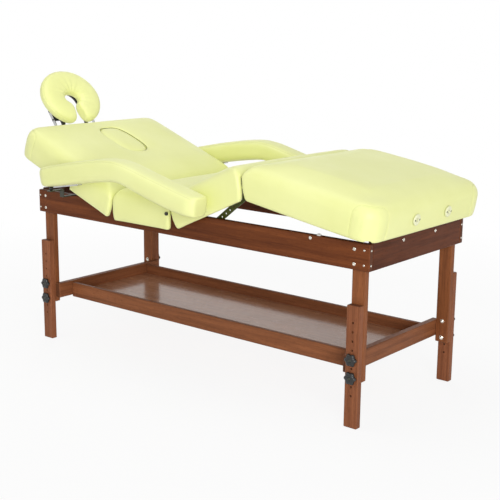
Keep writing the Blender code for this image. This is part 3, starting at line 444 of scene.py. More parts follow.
def wood(name, way, tones, rough, coat):
    look, tree, shader = start_material(name, Coat_Roughness=COAT_ROUGHNESS,
                                        Specular_IOR_Level=WOOD_SPECULAR)
    place = object_place(tree, GRAIN_TURNS[way])
    figure = use_group(tree, MAHOGANY, {"Vector": place}, {"Dark": tones[0], "Light": tones[1]})
    edge_mask = use_group(tree, EDGE_WEAR_AND_HIGHLIGHT, {"Vector": place}, {"Radius": WOOD_EDGE})
    marks = use_group(tree, MARKS, {"Vector": place})
    facing = add_node(tree, "ShaderNodeTexCoord").outputs["Normal"]
    along = add_node(tree, "ShaderNodeMapping", {"Vector": facing}, {"Rotation": GRAIN_TURNS[way]})
    sawn = use_group(tree, END_GRAIN, {"Normal": along.outputs["Vector"]})
    sawn_part = math_node(tree, "MULTIPLY", sawn["Mask"], SAWN_SHARE)
    # Pale edges: wear and a painted highlight.
    wear_and_highlight_part = math_node(tree, "MULTIPLY", edge_mask["Mask"], WEAR_AND_HIGHLIGHT_SHARE)
    colour = mix_colours(tree, sawn_part, figure["Color"], SAWN_END)
    tree.links.new(mix_colours(tree, wear_and_highlight_part, colour, WOOD_WEAR_AND_HIGHLIGHT), shader.inputs["Base Color"])
    tree.links.new(smudged(tree, marks, rough), shader.inputs["Roughness"])
    varnish = math_node(tree, "SUBTRACT", coat, math_node(tree, "MULTIPLY", edge_mask["Mask"], coat))
    tree.links.new(varnish, shader.inputs["Coat Weight"])
    bump(tree, shader, figure["Height"], PORE_BUMP, PORE_DEPTH, edge_mask["Normal"])
    return look


RAIL_LOOKS = {way: wood(f"mahogany_{way}", way, RAIL_TONES, SATIN, RAIL_COAT) for way in "xy"}
SHELF_LOOKS = {way: wood(f"mahogany_shelf_painted_light_{way}", way, SHELF_PAINTED_LIGHT_TONES, SATIN, RAIL_COAT) for way in "xy"}
END_RAIL_LOOK = wood("mahogany_end_rail_painted_shade", "y", END_RAIL_PAINTED_SHADE_TONES, SATIN, RAIL_COAT)
FIXED_LEG_LOOK = wood("mahogany_fixed_leg", "z", FIXED_LEG_PAINTED_LIGHT_TONES, SATIN, LEG_COAT)
SLIDING_LEG_LOOK = wood("mahogany_sliding_leg", "z", SLIDING_LEG_PAINTED_LIGHT_TONES, SATIN, LEG_COAT)
PANEL_LOOK = wood("glossy_panel", "x", PANEL_PAINTED_LIGHT_TONES, GLOSS, PANEL_COAT)
BOARD_LOOK = wood("dark_board", "y", HIDDEN_TONES, BARE, 0.0)
print("rail and shelf finishes:", len(RAIL_LOOKS) + len(SHELF_LOOKS))

# %% [markdown]
# ## Vinyl, plastic and metal
# Upholstery vinyl is a soft plastic skin with a pebbled grain: two close tones that drift, painted shade
# in the creases between the pebbles, a little sheen and a low bump. Plastic and steel share one recipe,
# because both are close tones with rubbed edges and smudges, and only the bright metals are metallic. An
# image of real grain could do the same, but nodes stay sharp from any distance.

# %% Vinyl, plastic and metal finishes
VINYL_PALE = (0.86, 0.885, 0.40)
VINYL_DEEP = (0.815, 0.84, 0.345)
VINYL_SHEEN, SHEEN_ROUGHNESS = 0.10, 0.5
VINYL_IOR, VINYL_ROUGH = 1.46, (0.40, 0.52)
VINYL_BUMP, VINYL_DEPTH = 0.30, 0.00025
DRIFT_RAMP, GRAIN_SHADE_SHARE = ((0.3, 0.0), (0.7, 1.0)), 0.10
TONE_RAMP = ((0.35, 0.0), (0.65, 1.0))
SOLID_EDGE, SOLID_RUBBED_SHARE = 0.0012, 0.6
FINE_SCALE, FINE_BUMP, FINE_DEPTH = 900.0, 0.12, 0.0001
SPECKLED = 0.2


def vinyl(name, pale, deep):
    look, tree, shader = start_material(name, IOR=VINYL_IOR, Sheen_Weight=VINYL_SHEEN,
                                        Sheen_Roughness=SHEEN_ROUGHNESS)
    place = object_place(tree)
    grain = use_group(tree, VINYL_GRAIN, {"Vector": place})
    marks = use_group(tree, MARKS, {"Vector": place})
    tone = mix_colours(tree, ramp(tree, grain["Drift"], DRIFT_RAMP), deep, pale)
    # Painted shade: the grain's sunken creases are darkened towards the deep tone.
    grain_shade = math_node(tree, "MULTIPLY", math_node(tree, "SUBTRACT", 1.0, grain["Height"]), GRAIN_SHADE_SHARE)
    tree.links.new(mix_colours(tree, grain_shade, tone, deep), shader.inputs["Base Color"])
    tree.links.new(smudged(tree, marks, VINYL_ROUGH), shader.inputs["Roughness"])
    bump(tree, shader, grain["Height"], VINYL_BUMP, VINYL_DEPTH)
    return look


def solid_finish(name, low, high, rough, metallic, rubbed, speck=0.0):
    """Plastic or metal: two close tones, worn edges, smudged gloss and a fine surface."""
    look, tree, shader = start_material(name, Metallic=metallic)
    place = object_place(tree)
    edge_mask = use_group(tree, EDGE_WEAR_AND_HIGHLIGHT, {"Vector": place}, {"Radius": SOLID_EDGE})
    marks = use_group(tree, MARKS, {"Vector": place})
    tone = mix_colours(tree, ramp(tree, marks["Mask"], TONE_RAMP), low, high)
    tone = mix_colours(tree, math_node(tree, "MULTIPLY", edge_mask["Mask"], SOLID_RUBBED_SHARE), tone, rubbed)
    tree.links.new(tone, shader.inputs["Base Color"])
    tree.links.new(smudged(tree, marks, rough), shader.inputs["Roughness"])
    fine = noise(tree, place, FINE_SCALE, 2.0)
    bump(tree, shader, fine, FINE_BUMP + speck, FINE_DEPTH, edge_mask["Normal"])
    return look


VINYL_LOOK = vinyl("lemon_vinyl", VINYL_PALE, VINYL_DEEP)
SEAM_LOOK = vinyl("lemon_seam", (0.76, 0.78, 0.33), (0.68, 0.70, 0.28))
# A dark olive vinyl that paints the shade in the gap round the plug.
CREASE_SHADE_LOOK = vinyl("painted_crease_shade", (0.20, 0.20, 0.07), (0.14, 0.14, 0.045))
BLACK_LOOK = solid_finish("black_plastic", (0.010, 0.010, 0.010), (0.018, 0.018, 0.017), (0.32, 0.46), 0.0,
                          (0.05, 0.05, 0.05), SPECKLED)
WHITE_LOOK = solid_finish("white_plastic", (0.72, 0.72, 0.69), (0.80, 0.80, 0.78), (0.32, 0.45), 0.0,
                          (0.82, 0.82, 0.80))
CREAM_LOOK = solid_finish("cream_plastic", (0.78, 0.79, 0.50), (0.83, 0.84, 0.57), (0.38, 0.50), 0.0,
                          (0.84, 0.84, 0.62))
STEEL_LOOK = solid_finish("bright_steel", (0.48, 0.48, 0.48), (0.62, 0.62, 0.61), (0.22, 0.38), 1.0,
                          (0.75, 0.75, 0.75))
NICKEL_LOOK = solid_finish("nickel", (0.66, 0.63, 0.56), (0.76, 0.73, 0.66), (0.18, 0.30), 1.0,
                           (0.85, 0.82, 0.75))
DARK_STEEL_LOOK = solid_finish("dark_steel", (0.022, 0.024, 0.013), (0.040, 0.042, 0.024), (0.34, 0.5), 0.0,
                               (0.20, 0.20, 0.16), SPECKLED)
OLIVE_STEEL_LOOK = solid_finish("olive_steel", (0.060, 0.074, 0.012), (0.095, 0.112, 0.022), (0.34, 0.5),
                                0.0, (0.20, 0.21, 0.10), SPECKLED)
print("finishes:", len(bpy.data.materials))

# %% [markdown]
# ## Finishes for the CAD pieces that stay
# The boards, legs, rails, hinges and steel parts have the right shape already, so they only get a
# finish. The record says which slot a node belongs to, and its longest side says which way the grain runs.

# %% Dress the CAD nodes
SLOT_LOOKS = {"glossy_panel": PANEL_LOOK, "dark_board": BOARD_LOOK, "lemon_vinyl": VINYL_LOOK,
              "black_plastic": BLACK_LOOK, "bright_steel": STEEL_LOOK, "dark_steel": DARK_STEEL_LOOK,
              "white_plastic": CREAM_LOOK}


def grain_way(node):
    low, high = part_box(node)
    sides = high - low
    return "xyz"[max(range(3), key=lambda i: sides[i])]


# Each part gets its own copy of the stain, lighter or darker as painted light and shade.
def mahogany_look(node):
    if node.startswith("shelf"):
        return SHELF_LOOKS[grain_way(node)]
    if node.startswith("end_rail"):
        return END_RAIL_LOOK
    if node.startswith("fixed_leg"):
        return FIXED_LEG_LOOK
    if node.startswith("sliding_leg"):
        return SLIDING_LEG_LOOK
    return RAIL_LOOKS[grain_way(node)]


NODE_LOOKS = {"armrest_web": VINYL_LOOK, "thigh_stay": OLIVE_STEEL_LOOK}

node_slots = {part["node"]: part["material_slot"] for part in frame["record"]["subparts"]}
for node, slot in node_slots.items():
    look = mahogany_look(node) if slot == "mahogany" else SLOT_LOOKS[slot]
    look = NODE_LOOKS.get(node.rsplit("_", 1)[0], look)
    for holder in nodes[node].material_slots:
        holder.material = look
print("dressed nodes:", len(node_slots))

# %% [markdown]
# ## How a cushion is made
# A real section is a board with foam on it and vinyl pulled over both and down into a skirt.
# The solid in the frame has its outline, so a merged copy of it is laid flat, given an even skin by a
# voxel remesh, rounded along its upper edges, drawn in by a few millimetres and then blown up by a short
# cloth simulation with pressure and no gravity. Points inside the hollow are pinned, because the board
# holds them there. How far a point may move is capped, and the cap falls to nothing beside a hinge, where
# the next section is close. The capped move is spread over the points beside it, so that the cap leaves
# no step on the top.

# %% Cushion helpers
MERGE_DISTANCE = 1e-5
PUFF_FRAMES = 20
PULL_IN = 0.001
SLIDE_SHARE = 0.3
EVEN_SHARE, EVEN_ROUNDS = 0.5, 2
EASE_SHARE, EASE_ROUNDS = 0.5, 8
SPREAD_ROUNDS = 90
MILLIMETRES = 1000
CLOTH_SETTINGS = {"quality": 5, "mass": 0.3, "tension_stiffness": 15.0, "compression_stiffness": 15.0,
                  "shear_stiffness": 5.0, "bending_stiffness": 0.5, "use_pressure": True,
                  "uniform_pressure_force": 4.0}
puffing = []


def bmesh_to_mesh(name, bm):
    mesh = bpy.data.meshes.new(name)
    bm.to_mesh(mesh)
    bm.free()
    return mesh


def applied(holder):
    """The mesh of an object after its modifiers; the holder is removed."""
    bpy.context.view_layer.update()
    depsgraph = bpy.context.evaluated_depsgraph_get()
    mesh = bpy.data.meshes.new_from_object(holder.evaluated_get(depsgraph))
    bpy.data.objects.remove(holder)
    return mesh


def holding(name, mesh):
    holder = bpy.data.objects.new(name, mesh)
    scene.collection.objects.link(holder)
    return holder


def flat_copy(node, to_world):
    """A merged copy of a CAD node's mesh, in the flat frame of its section."""
    bm = bmesh.new()
    bm.from_mesh(nodes[node].data)
    bmesh.ops.remove_doubles(bm, verts=bm.verts, dist=MERGE_DISTANCE)
    bmesh.ops.transform(bm, matrix=to_world.inverted(), verts=bm.verts)
    return bmesh_to_mesh(f"{node}_flat", bm)


def even_skin(name, mesh, voxel):
    """Voxel skin of a mesh, evened out."""
    holder = holding(name, mesh)
    skin = holder.modifiers.new("even_skin", "REMESH")
    skin.mode = "VOXEL"
    skin.voxel_size = voxel
    even = holder.modifiers.new("even_out", "SMOOTH")
    even.factor = EVEN_SHARE
    even.iterations = EVEN_ROUNDS
    return applied(holder)


def drawn_in(mesh, depth):
    """Pull a skin in along its normals, by one depth or by one for each point."""
    set_places(mesh, mesh_places(mesh) - np.reshape(depth, (-1, 1)) * mesh_normals(mesh))


def mesh_normals(mesh):
    normals = np.empty(len(mesh.vertices) * 3, np.float32)
    mesh.vertices.foreach_get("normal", normals)
    return normals.reshape(-1, 3).astype(float)


def mesh_places(mesh):
    places = np.empty(len(mesh.vertices) * 3, np.float32)
    mesh.vertices.foreach_get("co", places)
    return places.reshape(-1, 3).astype(float)


def set_places(mesh, places):
    mesh.vertices.foreach_set("co", places.astype(np.float32).ravel())
    mesh.update()


def start_puff(name, mesh, pinned, cap):
    """Hang a cloth modifier on a skin; pinned is a mask and cap a distance for each point."""
    holder = holding(name, mesh)
    group = holder.vertex_groups.new(name="held_by_board")
    group.add([int(i) for i in np.flatnonzero(pinned)], 1.0, "REPLACE")
    cloth = holder.modifiers.new("vinyl_over_foam", "CLOTH")
    for key, value in CLOTH_SETTINGS.items():
        setattr(cloth.settings, key, value)
    cloth.settings.effector_weights.gravity = 0.0
    cloth.settings.vertex_group_mass = group.name
    cloth.point_cache.frame_start = 1
    cloth.point_cache.frame_end = PUFF_FRAMES
    puffing.append((holder, mesh_places(mesh), cap))
    return holder


def eased(mesh, moves, rounds):
    """Average a move over neighbouring points, so that wrinkles finer than a few centimetres fade."""
    pairs = np.empty(len(mesh.edges) * 2, np.int32)
    mesh.edges.foreach_get("vertices", pairs)
    first, second = pairs.reshape(-1, 2).T
    count = np.bincount(pairs, minlength=len(moves))[:, None]
    for _ in range(rounds):
        total = np.zeros_like(moves)
        np.add.at(total, first, moves[second])
        np.add.at(total, second, moves[first])
        moves = (1.0 - EASE_SHARE) * moves + EASE_SHARE * total / count
    return moves


def run_puff():
    """Step all the hung cloths together, then cap each point's move and drop the modifiers."""
    for step in range(1, PUFF_FRAMES + 1):
        scene.frame_set(step)
    depsgraph = bpy.context.evaluated_depsgraph_get()
    for holder, rest, cap in puffing:
        evaluated = holder.evaluated_get(depsgraph)
        moved = eased(holder.data, mesh_places(evaluated.data) - rest, EASE_ROUNDS)
        normals = mesh_normals(holder.data)
        outward = np.sum(moved * normals, axis=1)[:, None]
        sideways = moved - outward * normals
        free = (cap / cap.max())[:, None]
        high = round(float(outward.max()) * MILLIMETRES, 1)
        print(holder.name, "puffed", high, "mm before the cap")
        outward = eased(holder.data, np.clip(outward, -PULL_IN * free, cap[:, None]), SPREAD_ROUNDS)
        outward = np.minimum(outward, cap[:, None])
        set_places(holder.data, rest + outward * normals + SLIDE_SHARE * free * sideways)
        holder.modifiers.clear()
        holder.vertex_groups.clear()
    scene.frame_set(1)
    puffing.clear()


def finer(holder):
    """One subdivision, applied, with soft shading."""
    step = holder.modifiers.new("finer", "SUBSURF")
    step.levels = 1
    step.render_levels = 1
    name = holder.name
    made = applied(holder)
    made.name = name
    made.shade_smooth()
    return made


def press_seam(mesh, path, width, depth):
    """Push the skin in along a line of points, as a row of stitches pulls it down."""
    tree = KDTree(len(path))
    for i, point in enumerate(path):
        tree.insert(point, i)
    tree.balance()
    places = mesh_places(mesh)
    normals = mesh_normals(mesh)
    low, high = np.min(path, axis=0) - width, np.max(path, axis=0) + width
    near = np.flatnonzero(np.all((places > low) & (places < high), axis=1))
    for i in near:
        distance = tree.find(places[i])[2]
        if distance < width:
            places[i] -= normals[i] * depth * (1.0 - (distance / width) ** 2) ** 2
    set_places(mesh, places)


def on_surface(mesh, starts, aims):
    """Where straight looks from outside meet a mesh; looks that miss are left out."""
    tree = BVHTree.FromPolygons([v.co for v in mesh.vertices], [p.vertices for p in mesh.polygons])
    found = []
    for start, aim in zip(starts, aims):
        place = tree.ray_cast(Vector(start), Vector(aim).normalized())[0]
        if place is not None:
            found.append(place)
    return found


THREAD_RADIUS = 0.0008


def thread(name, paths, radius=THREAD_RADIUS):
    """A seam's cord: a thin round line through each run of points, as one mesh."""
    curve = bpy.data.curves.new(name, "CURVE")
    curve.dimensions = "3D"
    curve.bevel_depth = radius
    curve.bevel_resolution = 1
    curve.use_fill_caps = True
    for path in paths:
        spline = curve.splines.new("POLY")
        spline.points.add(len(path) - 1)
        for point, place in zip(spline.points, path):
            point.co = (*place, 1.0)
    made = applied(holding(name, curve))
    made.name = name
    made.shade_smooth()
    return made


def finish_piece(name, mesh, look, body, to_world=None, replaced=()):
    """Put a mesh in its place, give it its finish, and tie it to its body."""
    if to_world is not None:
        mesh.transform(to_world)
    mesh.materials.clear()
    mesh.materials.append(look)
    piece = holding(name, mesh)
    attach(piece, body)
    if replaced:
        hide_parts(*replaced)
    return piece


print("cushion helpers ready")

# %% [markdown]
# ## The four padded sections
# Each section is worked on lying flat, with X along the table from its hinge, and laid back at the end.
# The free ends of the back and leg sections have big round corners with a sewn-in gusset: two seams that
# run up from the skirt and meet under the top's edge.

# %% Section frames
BACK_TURN = math.radians(21.0)
THIGH_TURN = math.radians(-24.7)
LEG_TURN = math.radians(9.3)
HALF_WIDTH = 0.392
SKIRT = 0.024
SKIRT_FOOT = -0.070
BOARD_TOP = 0.0123
THIGH_LENGTH = 0.392
LEG_LENGTH = 0.5886
BACK_LENGTH = 0.612
SEAT_LENGTH = 0.325
CORNER = 0.068


def laid(joint, turn):
    return Matrix.Translation(Vector(hinge_places[joint])) @ Matrix.Rotation(turn, 4, "Y")


BACK_FRAME = laid("back_hinge", BACK_TURN)
SEAT_FRAME = laid("back_hinge", 0.0)
THIGH_FRAME = laid("thigh_hinge", THIGH_TURN)
LEG_FRAME = laid("knee_hinge", LEG_TURN)

BEYOND = 1.0

# name, frame, body, its X span, the hollow's X span, and the X of the hinges beside it
SECTIONS = (
    ("seat", SEAT_FRAME, "frame", (0.0, SEAT_LENGTH), (-BEYOND, BEYOND), (0.0, SEAT_LENGTH)),
    ("back", BACK_FRAME, "back", (-BACK_LENGTH, 0.0), (-BACK_LENGTH + SKIRT, BEYOND), (0.0,)),
    ("thigh", THIGH_FRAME, "thigh", (0.0, THIGH_LENGTH), (-BEYOND, BEYOND), (0.0, THIGH_LENGTH)),
    ("leg", LEG_FRAME, "leg", (0.0, LEG_LENGTH), (-BEYOND, LEG_LENGTH - SKIRT), (0.0,)),
)
print("sections:", [section[0] for section in SECTIONS])

# %% Puff the sections
SECTION_VOXELS = {"seat": 0.0062, "back": 0.0062, "thigh": 0.0062, "leg": 0.0068}
SKIRT_CAP = 0.0025
TOP_CAPS = {"seat": 0.006, "back": 0.007, "thigh": 0.007, "leg": 0.021}
CROWN_ALONG, CROWN_ACROSS = 0.7, 6
SECTION_DRAW_IN = 0.0015
SOFT_EDGE_ROUNDS = {"seat": 10, "back": 12, "thigh": 16, "leg": 36}
SOFT_EDGE_RISE = (0.018, 0.050)
SOFT_EDGE_REACH = 0.11
SOFT_EDGE_FADE = 0.03
HINGE_CLEAR = 0.012
HINGE_REACH = 0.05
HELD_MARGIN = 0.006


def hinge_share(places, hinges):
    """0 beside a hinge, rising to 1 a hand's breadth away from it."""
    share = np.ones(len(places))
    for x in hinges:
        away = np.clip((np.abs(places[:, 0] - x) - HINGE_CLEAR) / HINGE_REACH, 0.0, 1.0)
        share *= away
    return share


def crown(places, span):
    """A pillow's rise: 1 in the middle of a section, falling to 0 at its edges."""
    middle, half = (span[0] + span[1]) / 2, (span[1] - span[0]) / 2
    along = np.clip(1.0 - ((places[:, 0] - middle) / half) ** 2, 0.0, 1.0) ** CROWN_ALONG
    return along * np.clip(1.0 - (places[:, 1] / HALF_WIDTH) ** CROWN_ACROSS, 0.0, 1.0)


def soften_edges(skin, span, rounds):
    """Round off the upper edges, because foam under pulled vinyl has no sharp corner."""
    places = mesh_places(skin)
    to_ends = np.minimum(places[:, 0] - span[0], span[1] - places[:, 0])
    to_edge = np.minimum(to_ends, HALF_WIDTH - np.abs(places[:, 1]))
    low, high = SOFT_EDGE_RISE
    share = np.clip((places[:, 2] - low) / (high - low), 0.0, 1.0)
    share *= np.clip((SOFT_EDGE_REACH - to_edge) / SOFT_EDGE_FADE, 0.0, 1.0)
    set_places(skin, places + share[:, None] * (eased(skin, places, rounds) - places))


def held_by_board(places, hollow):
    low, high = hollow
    half = HALF_WIDTH - SKIRT + HELD_MARGIN
    inside = (places[:, 0] > low - HELD_MARGIN) & (places[:, 0] < high + HELD_MARGIN)
    return inside & (np.abs(places[:, 1]) < half) & (places[:, 2] < BOARD_TOP + HELD_MARGIN)


section_holders = {}
for name, to_world, body, span, hollow, hinges in SECTIONS:
    skin = even_skin(f"{name}_skin", flat_copy(f"{name}_cushion", to_world), SECTION_VOXELS[name])
    soften_edges(skin, span, SOFT_EDGE_ROUNDS[name])
    share = hinge_share(mesh_places(skin), hinges)
    drawn_in(skin, SECTION_DRAW_IN * share)
    points = mesh_places(skin)
    upward = np.clip(mesh_normals(skin)[:, 2], 0.0, 1.0)
    cap = (SKIRT_CAP + TOP_CAPS[name] * upward * crown(points, span)) * share
    section_holders[name] = start_puff(f"{name}_skin", skin, held_by_board(points, hollow), cap)
    print(name, "section skin:", len(points), "points")

# %% [markdown]
# ## The plug, the armrest pads and the face cradle's cushion
# These are smaller, so their skin is finer. The plug and the pads are free all round, and only the parts
# that rest on something are held: the plug's underside and the cradle cushion's underside on its platform.
# The armrest pads are held nowhere.

# %% Skin the small pads
CRADLE_TURN = BACK_TURN + math.radians(34.5)
CRADLE_FRAME = laid("cradle_tilt", CRADLE_TURN)
PLUG_VOXEL = 0.004
PLUG_HELD = 0.055
PLUG_CAP = 0.003
PAD_VOXEL = 0.005
PAD_DRAW_IN = 0.0012
ARM_CAP = 0.003
CRADLE_SEAT = 0.0218
CRADLE_HELD = 0.005
CRADLE_CAP = 0.005

plug_skin = even_skin("plug_skin", flat_copy("face_hole_plug", BACK_FRAME), PLUG_VOXEL)
points = mesh_places(plug_skin)
plug_holder = start_puff("plug_skin", plug_skin, points[:, 2] < PLUG_HELD, np.full(len(points), PLUG_CAP))

arm_holders = {}
for side in ("near", "far"):
    skin = even_skin(f"arm_{side}_skin", flat_copy(f"armrest_pad_{side}", Matrix.Identity(4)), PAD_VOXEL)
    drawn_in(skin, PAD_DRAW_IN)
    points = mesh_places(skin)
    arm_holders[side] = start_puff(f"arm_{side}_skin", skin, np.zeros(len(points), bool),
                                   np.full(len(points), ARM_CAP))

cradle_skin = even_skin("cradle_skin", flat_copy("cradle_cushion", CRADLE_FRAME), PAD_VOXEL)
drawn_in(cradle_skin, PAD_DRAW_IN)
points = mesh_places(cradle_skin)
cradle_holder = start_puff("cradle_skin", cradle_skin, points[:, 2] < CRADLE_SEAT + CRADLE_HELD,
                           np.full(len(points), CRADLE_CAP))
print("small pads:", 2 + len(arm_holders))

# %% [markdown]
# ## Blowing the cushions up
# All the cloths are stepped together, because each step of the scene moves every one of them. Twenty steps
# are enough for the pressure to fill the skins. The result becomes the mesh, and no cloth stays on a piece.

# %% Run the simulation
run_puff()
print("simulated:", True)

# %% [markdown]
# ## Seams of the sections
# The gusset's outline is drawn as a path of two numbers, the way round the corner and the height, and then
# cast on to the puffed skin from outside. The skin is pressed in along it and a thin cord laid in the groove.

# %% Finish the sections
SEAM_WIDTH = 0.007
SEAM_DEPTH = 0.0014
GUSSET_FOOT_RISE = 0.006
GUSSET_TURN_STEPS = 8
GUSSET_LOOK_OFF = 0.2
GUSSET_TOP = 0.055
GUSSET_ROUND = 0.03
GUSSET_OVERRUN = 0.026
SEAM_STEP = 0.003
PLUG_CENTRE = -0.381
PLUG_HALF_LENGTH = 0.121
PLUG_HALF_WIDTH = 0.072
PLUG_POWER = 3.0
CREASE_STEPS = 120
CREASE_RIM = 0.008
CREASE_OFF = 0.0006
CREASE_SINK = 0.005
CREASE_RADIUS = 0.0012
LOOK_DOWN_FROM = 0.3


def gusset_path(length, side):
    """Places and looks for the seam round one free corner; length carries the end's sign."""
    sign = math.copysign(1.0, length)
    centre = Vector((length - sign * CORNER, side * (HALF_WIDTH - CORNER)))
    arc = CORNER * QUARTER
    low, high = -GUSSET_OVERRUN, arc + GUSSET_OVERRUN
    route = []
    height = SKIRT_FOOT + GUSSET_FOOT_RISE
    while height < GUSSET_TOP - GUSSET_ROUND:
        route.append((low, height))
        height += SEAM_STEP
    for step in range(GUSSET_TURN_STEPS + 1):
        angle = QUARTER * step / GUSSET_TURN_STEPS
        route.append((low + GUSSET_ROUND * (1.0 - math.cos(angle)),
                      GUSSET_TOP - GUSSET_ROUND * (1.0 - math.sin(angle))))
    across = low + GUSSET_ROUND
    while across < (low + high) / 2:
        route.append((across, GUSSET_TOP))
        across += SEAM_STEP
    route += [(low + high - along, height) for along, height in reversed(route)]
    starts, aims = [], []
    for along, height in route:
        turn = min(max(along / CORNER, 0.0), QUARTER)
        spill = along - turn * CORNER
        out = Vector((sign * math.sin(turn), side * math.cos(turn)))
        slide = Vector((sign * math.cos(turn), -side * math.sin(turn))) * spill
        place = centre + out * GUSSET_LOOK_OFF + slide
        starts.append((place.x, place.y, height))
        aims.append((-out.x, -out.y, 0.0))
    return starts, aims


def plug_outline(angle, grow):
    """A point of the plug's outline, an oval between an ellipse and a rectangle, grown outwards."""
    sides = []
    for half, turn in ((PLUG_HALF_LENGTH, math.cos(angle)), (PLUG_HALF_WIDTH, math.sin(angle))):
        sides.append((half + grow) * math.copysign(abs(turn) ** (2.0 / PLUG_POWER), turn))
    return Vector((PLUG_CENTRE + sides[0], sides[1], 0.0))


def plug_crease_shade(mesh):
    """A dark cord of painted shade in the gap between the plug and the back's top, a little below the top's
    surface.
    """
    down = Vector((0.0, 0.0, -1.0))
    angles = [2.0 * math.pi * step / CREASE_STEPS for step in range(CREASE_STEPS + 1)]
    rims = [plug_outline(angle, CREASE_RIM) - LOOK_DOWN_FROM * down for angle in angles]
    tops = on_surface(mesh, rims, [down] * len(rims))
    return [plug_outline(angle, CREASE_OFF) + Vector((0.0, 0.0, top.z - CREASE_SINK))
            for angle, top in zip(angles, tops)]


def sewn(mesh, looks, width, depth):
    """Press a seam in where the looks meet the skin, and give the points where its thread lies."""
    press_seam(mesh, on_surface(mesh, *looks()), width, depth)
    return on_surface(mesh, *looks())


section_ends = {"back": -BACK_LENGTH, "leg": LEG_LENGTH}
for name, to_world, body, *_ in SECTIONS:
    mesh = finer(section_holders[name])
    paths = []
    for side in (-1, 1) if name in section_ends else ():
        paths.append(sewn(mesh, lambda: gusset_path(section_ends[name], side), SEAM_WIDTH, SEAM_DEPTH))
    # Round the plug, a dark cord paints the shade of the gap between plug and back.
    if name == "back":
        crease = thread("plug_crease_shade", [plug_crease_shade(mesh)], CREASE_RADIUS)
        finish_piece("plug_crease_shade", crease, CREASE_SHADE_LOOK, body, to_world)
    finish_piece(f"{name}_pad", mesh, VINYL_LOOK, body, to_world, (f"{name}_cushion",))
    if paths:
        seams = thread(f"{name}_seams", paths)
        finish_piece(f"{name}_pad_seams", seams, SEAM_LOOK, body, to_world)
    print(name, "section:", len(mesh.polygons), "faces,", len(paths), "gusset seams")

# %% [markdown]
# ## The plug and the armrest pads
# The plug fills the back's face hole and lifts out. An armrest pad is sewn from a top and a wall, so a seam
# runs along each of its upper edges. The pad arches, so each seam is found slice by slice, by looking at
# the edge from outside and above.

# %% Finish the plug and the armrest pads
ARM_MIDDLE = 0.458
ARM_SEAM_ENDS = 0.02
ARM_SEAM_OUT = 0.047
ARM_SEAM_DROP = 0.006
ARM_SLICE = 0.004
PAD_SEAM_WIDTH = 0.006
PAD_SEAM_DEPTH = 0.0013
EDGE_LOOK_OFF = 0.15

finish_piece("face_hole_pad", finer(plug_holder), VINYL_LOOK, "plug", BACK_FRAME,
             ("face_hole_plug",))


def arm_edge(mesh, sign, outer):
    """Looks at a pad's upper edge, outer or inner, from head to foot."""
    places = mesh_places(mesh)
    head, foot = places[:, 0].min() + ARM_SEAM_ENDS, places[:, 0].max() - ARM_SEAM_ENDS
    starts, aims = [], []
    for x in np.arange(head, foot, SEAM_STEP):
        here = places[np.abs(places[:, 0] - x) < ARM_SLICE]
        middle = (here[:, 2].min() + here[:, 2].max()) / 2
        reach = (here[:, 2].max() - here[:, 2].min()) / 2 - ARM_SEAM_DROP
        edge = Vector((x, sign * ARM_MIDDLE + sign * outer * ARM_SEAM_OUT, middle + reach))
        look = Vector((0.0, -sign * outer, -1.0))
        starts.append(edge - look * EDGE_LOOK_OFF)
        aims.append(look)
    return starts, aims


for side, sign in (("near", -1), ("far", 1)):
    mesh = finer(arm_holders[side])
    body = f"armrest_{side}"
    paths = []
    for outer in (1, -1):
        paths.append(sewn(mesh, lambda: arm_edge(mesh, sign, outer), PAD_SEAM_WIDTH, PAD_SEAM_DEPTH))
    finish_piece(f"armrest_{side}_pad", mesh, VINYL_LOOK, body,
                 replaced=(f"armrest_pad_{side}",))
    finish_piece(f"armrest_{side}_seams", thread(f"arm_{side}_seams", paths), SEAM_LOOK, body)
    print("armrest", side, len(mesh.polygons), "faces")

# %% [markdown]
# ## The ring cushion
# The face cradle's cushion is a ring that is open at one side. Vinyl pulled round so tight a ring gathers
# into small folds on its inner edge. They are added as a wave that runs round the ring and fades towards
# the outer edge. A seam joins the top to the outer wall.

# %% Finish the cradle cushion
RING_CENTRE = 0.120
RING_HALF_LENGTH = 0.084
RING_HALF_SPAN = 0.103
RING_HALF_BAND = 0.0625
RING_MIDDLE = 0.0528
RING_OPENING = math.radians(26.0)
RING_EDGE_IN = 0.010
RING_EDGE_HEIGHT = 0.014
RING_LOOK_DOWN = 0.5
RING_STEPS = 96
FOLDS = 17
FOLD_DEPTH = 0.0010
FOLD_RISE = 0.012
FOLD_REACH = 0.85
FOLD_BEND = (0.75, 0.5)
FOLD_UNEVEN, UNEVEN_BEAT = (0.65, 0.35), (3.7, 0.8)
FOLD_SWAY, SWAY_BEAT = 0.5, 5.0


def gather(mesh):
    """Radial folds on the inner edge, strongest round the ring's closed end."""
    places = mesh_places(mesh)
    along = (-places[:, 0] - RING_CENTRE) / RING_HALF_LENGTH
    across = places[:, 1] / RING_HALF_SPAN
    angle = np.arctan2(across, along)
    inner = np.clip((1.0 + FOLD_REACH / 2 - np.hypot(along, across)) / FOLD_REACH, 0.0, 1.0)
    top = np.clip((places[:, 2] - RING_MIDDLE) / FOLD_RISE, 0.0, 1.0)
    bend = np.clip(FOLD_BEND[0] + FOLD_BEND[1] * np.cos(angle), 0.0, 1.0)
    uneven = FOLD_UNEVEN[0] + FOLD_UNEVEN[1] * np.sin(angle * UNEVEN_BEAT[0] + UNEVEN_BEAT[1])
    wave = np.sin(angle * FOLDS + FOLD_SWAY * np.sin(angle * SWAY_BEAT)) * inner * top * bend * uneven
    set_places(mesh, places + FOLD_DEPTH * wave[:, None] * mesh_normals(mesh))


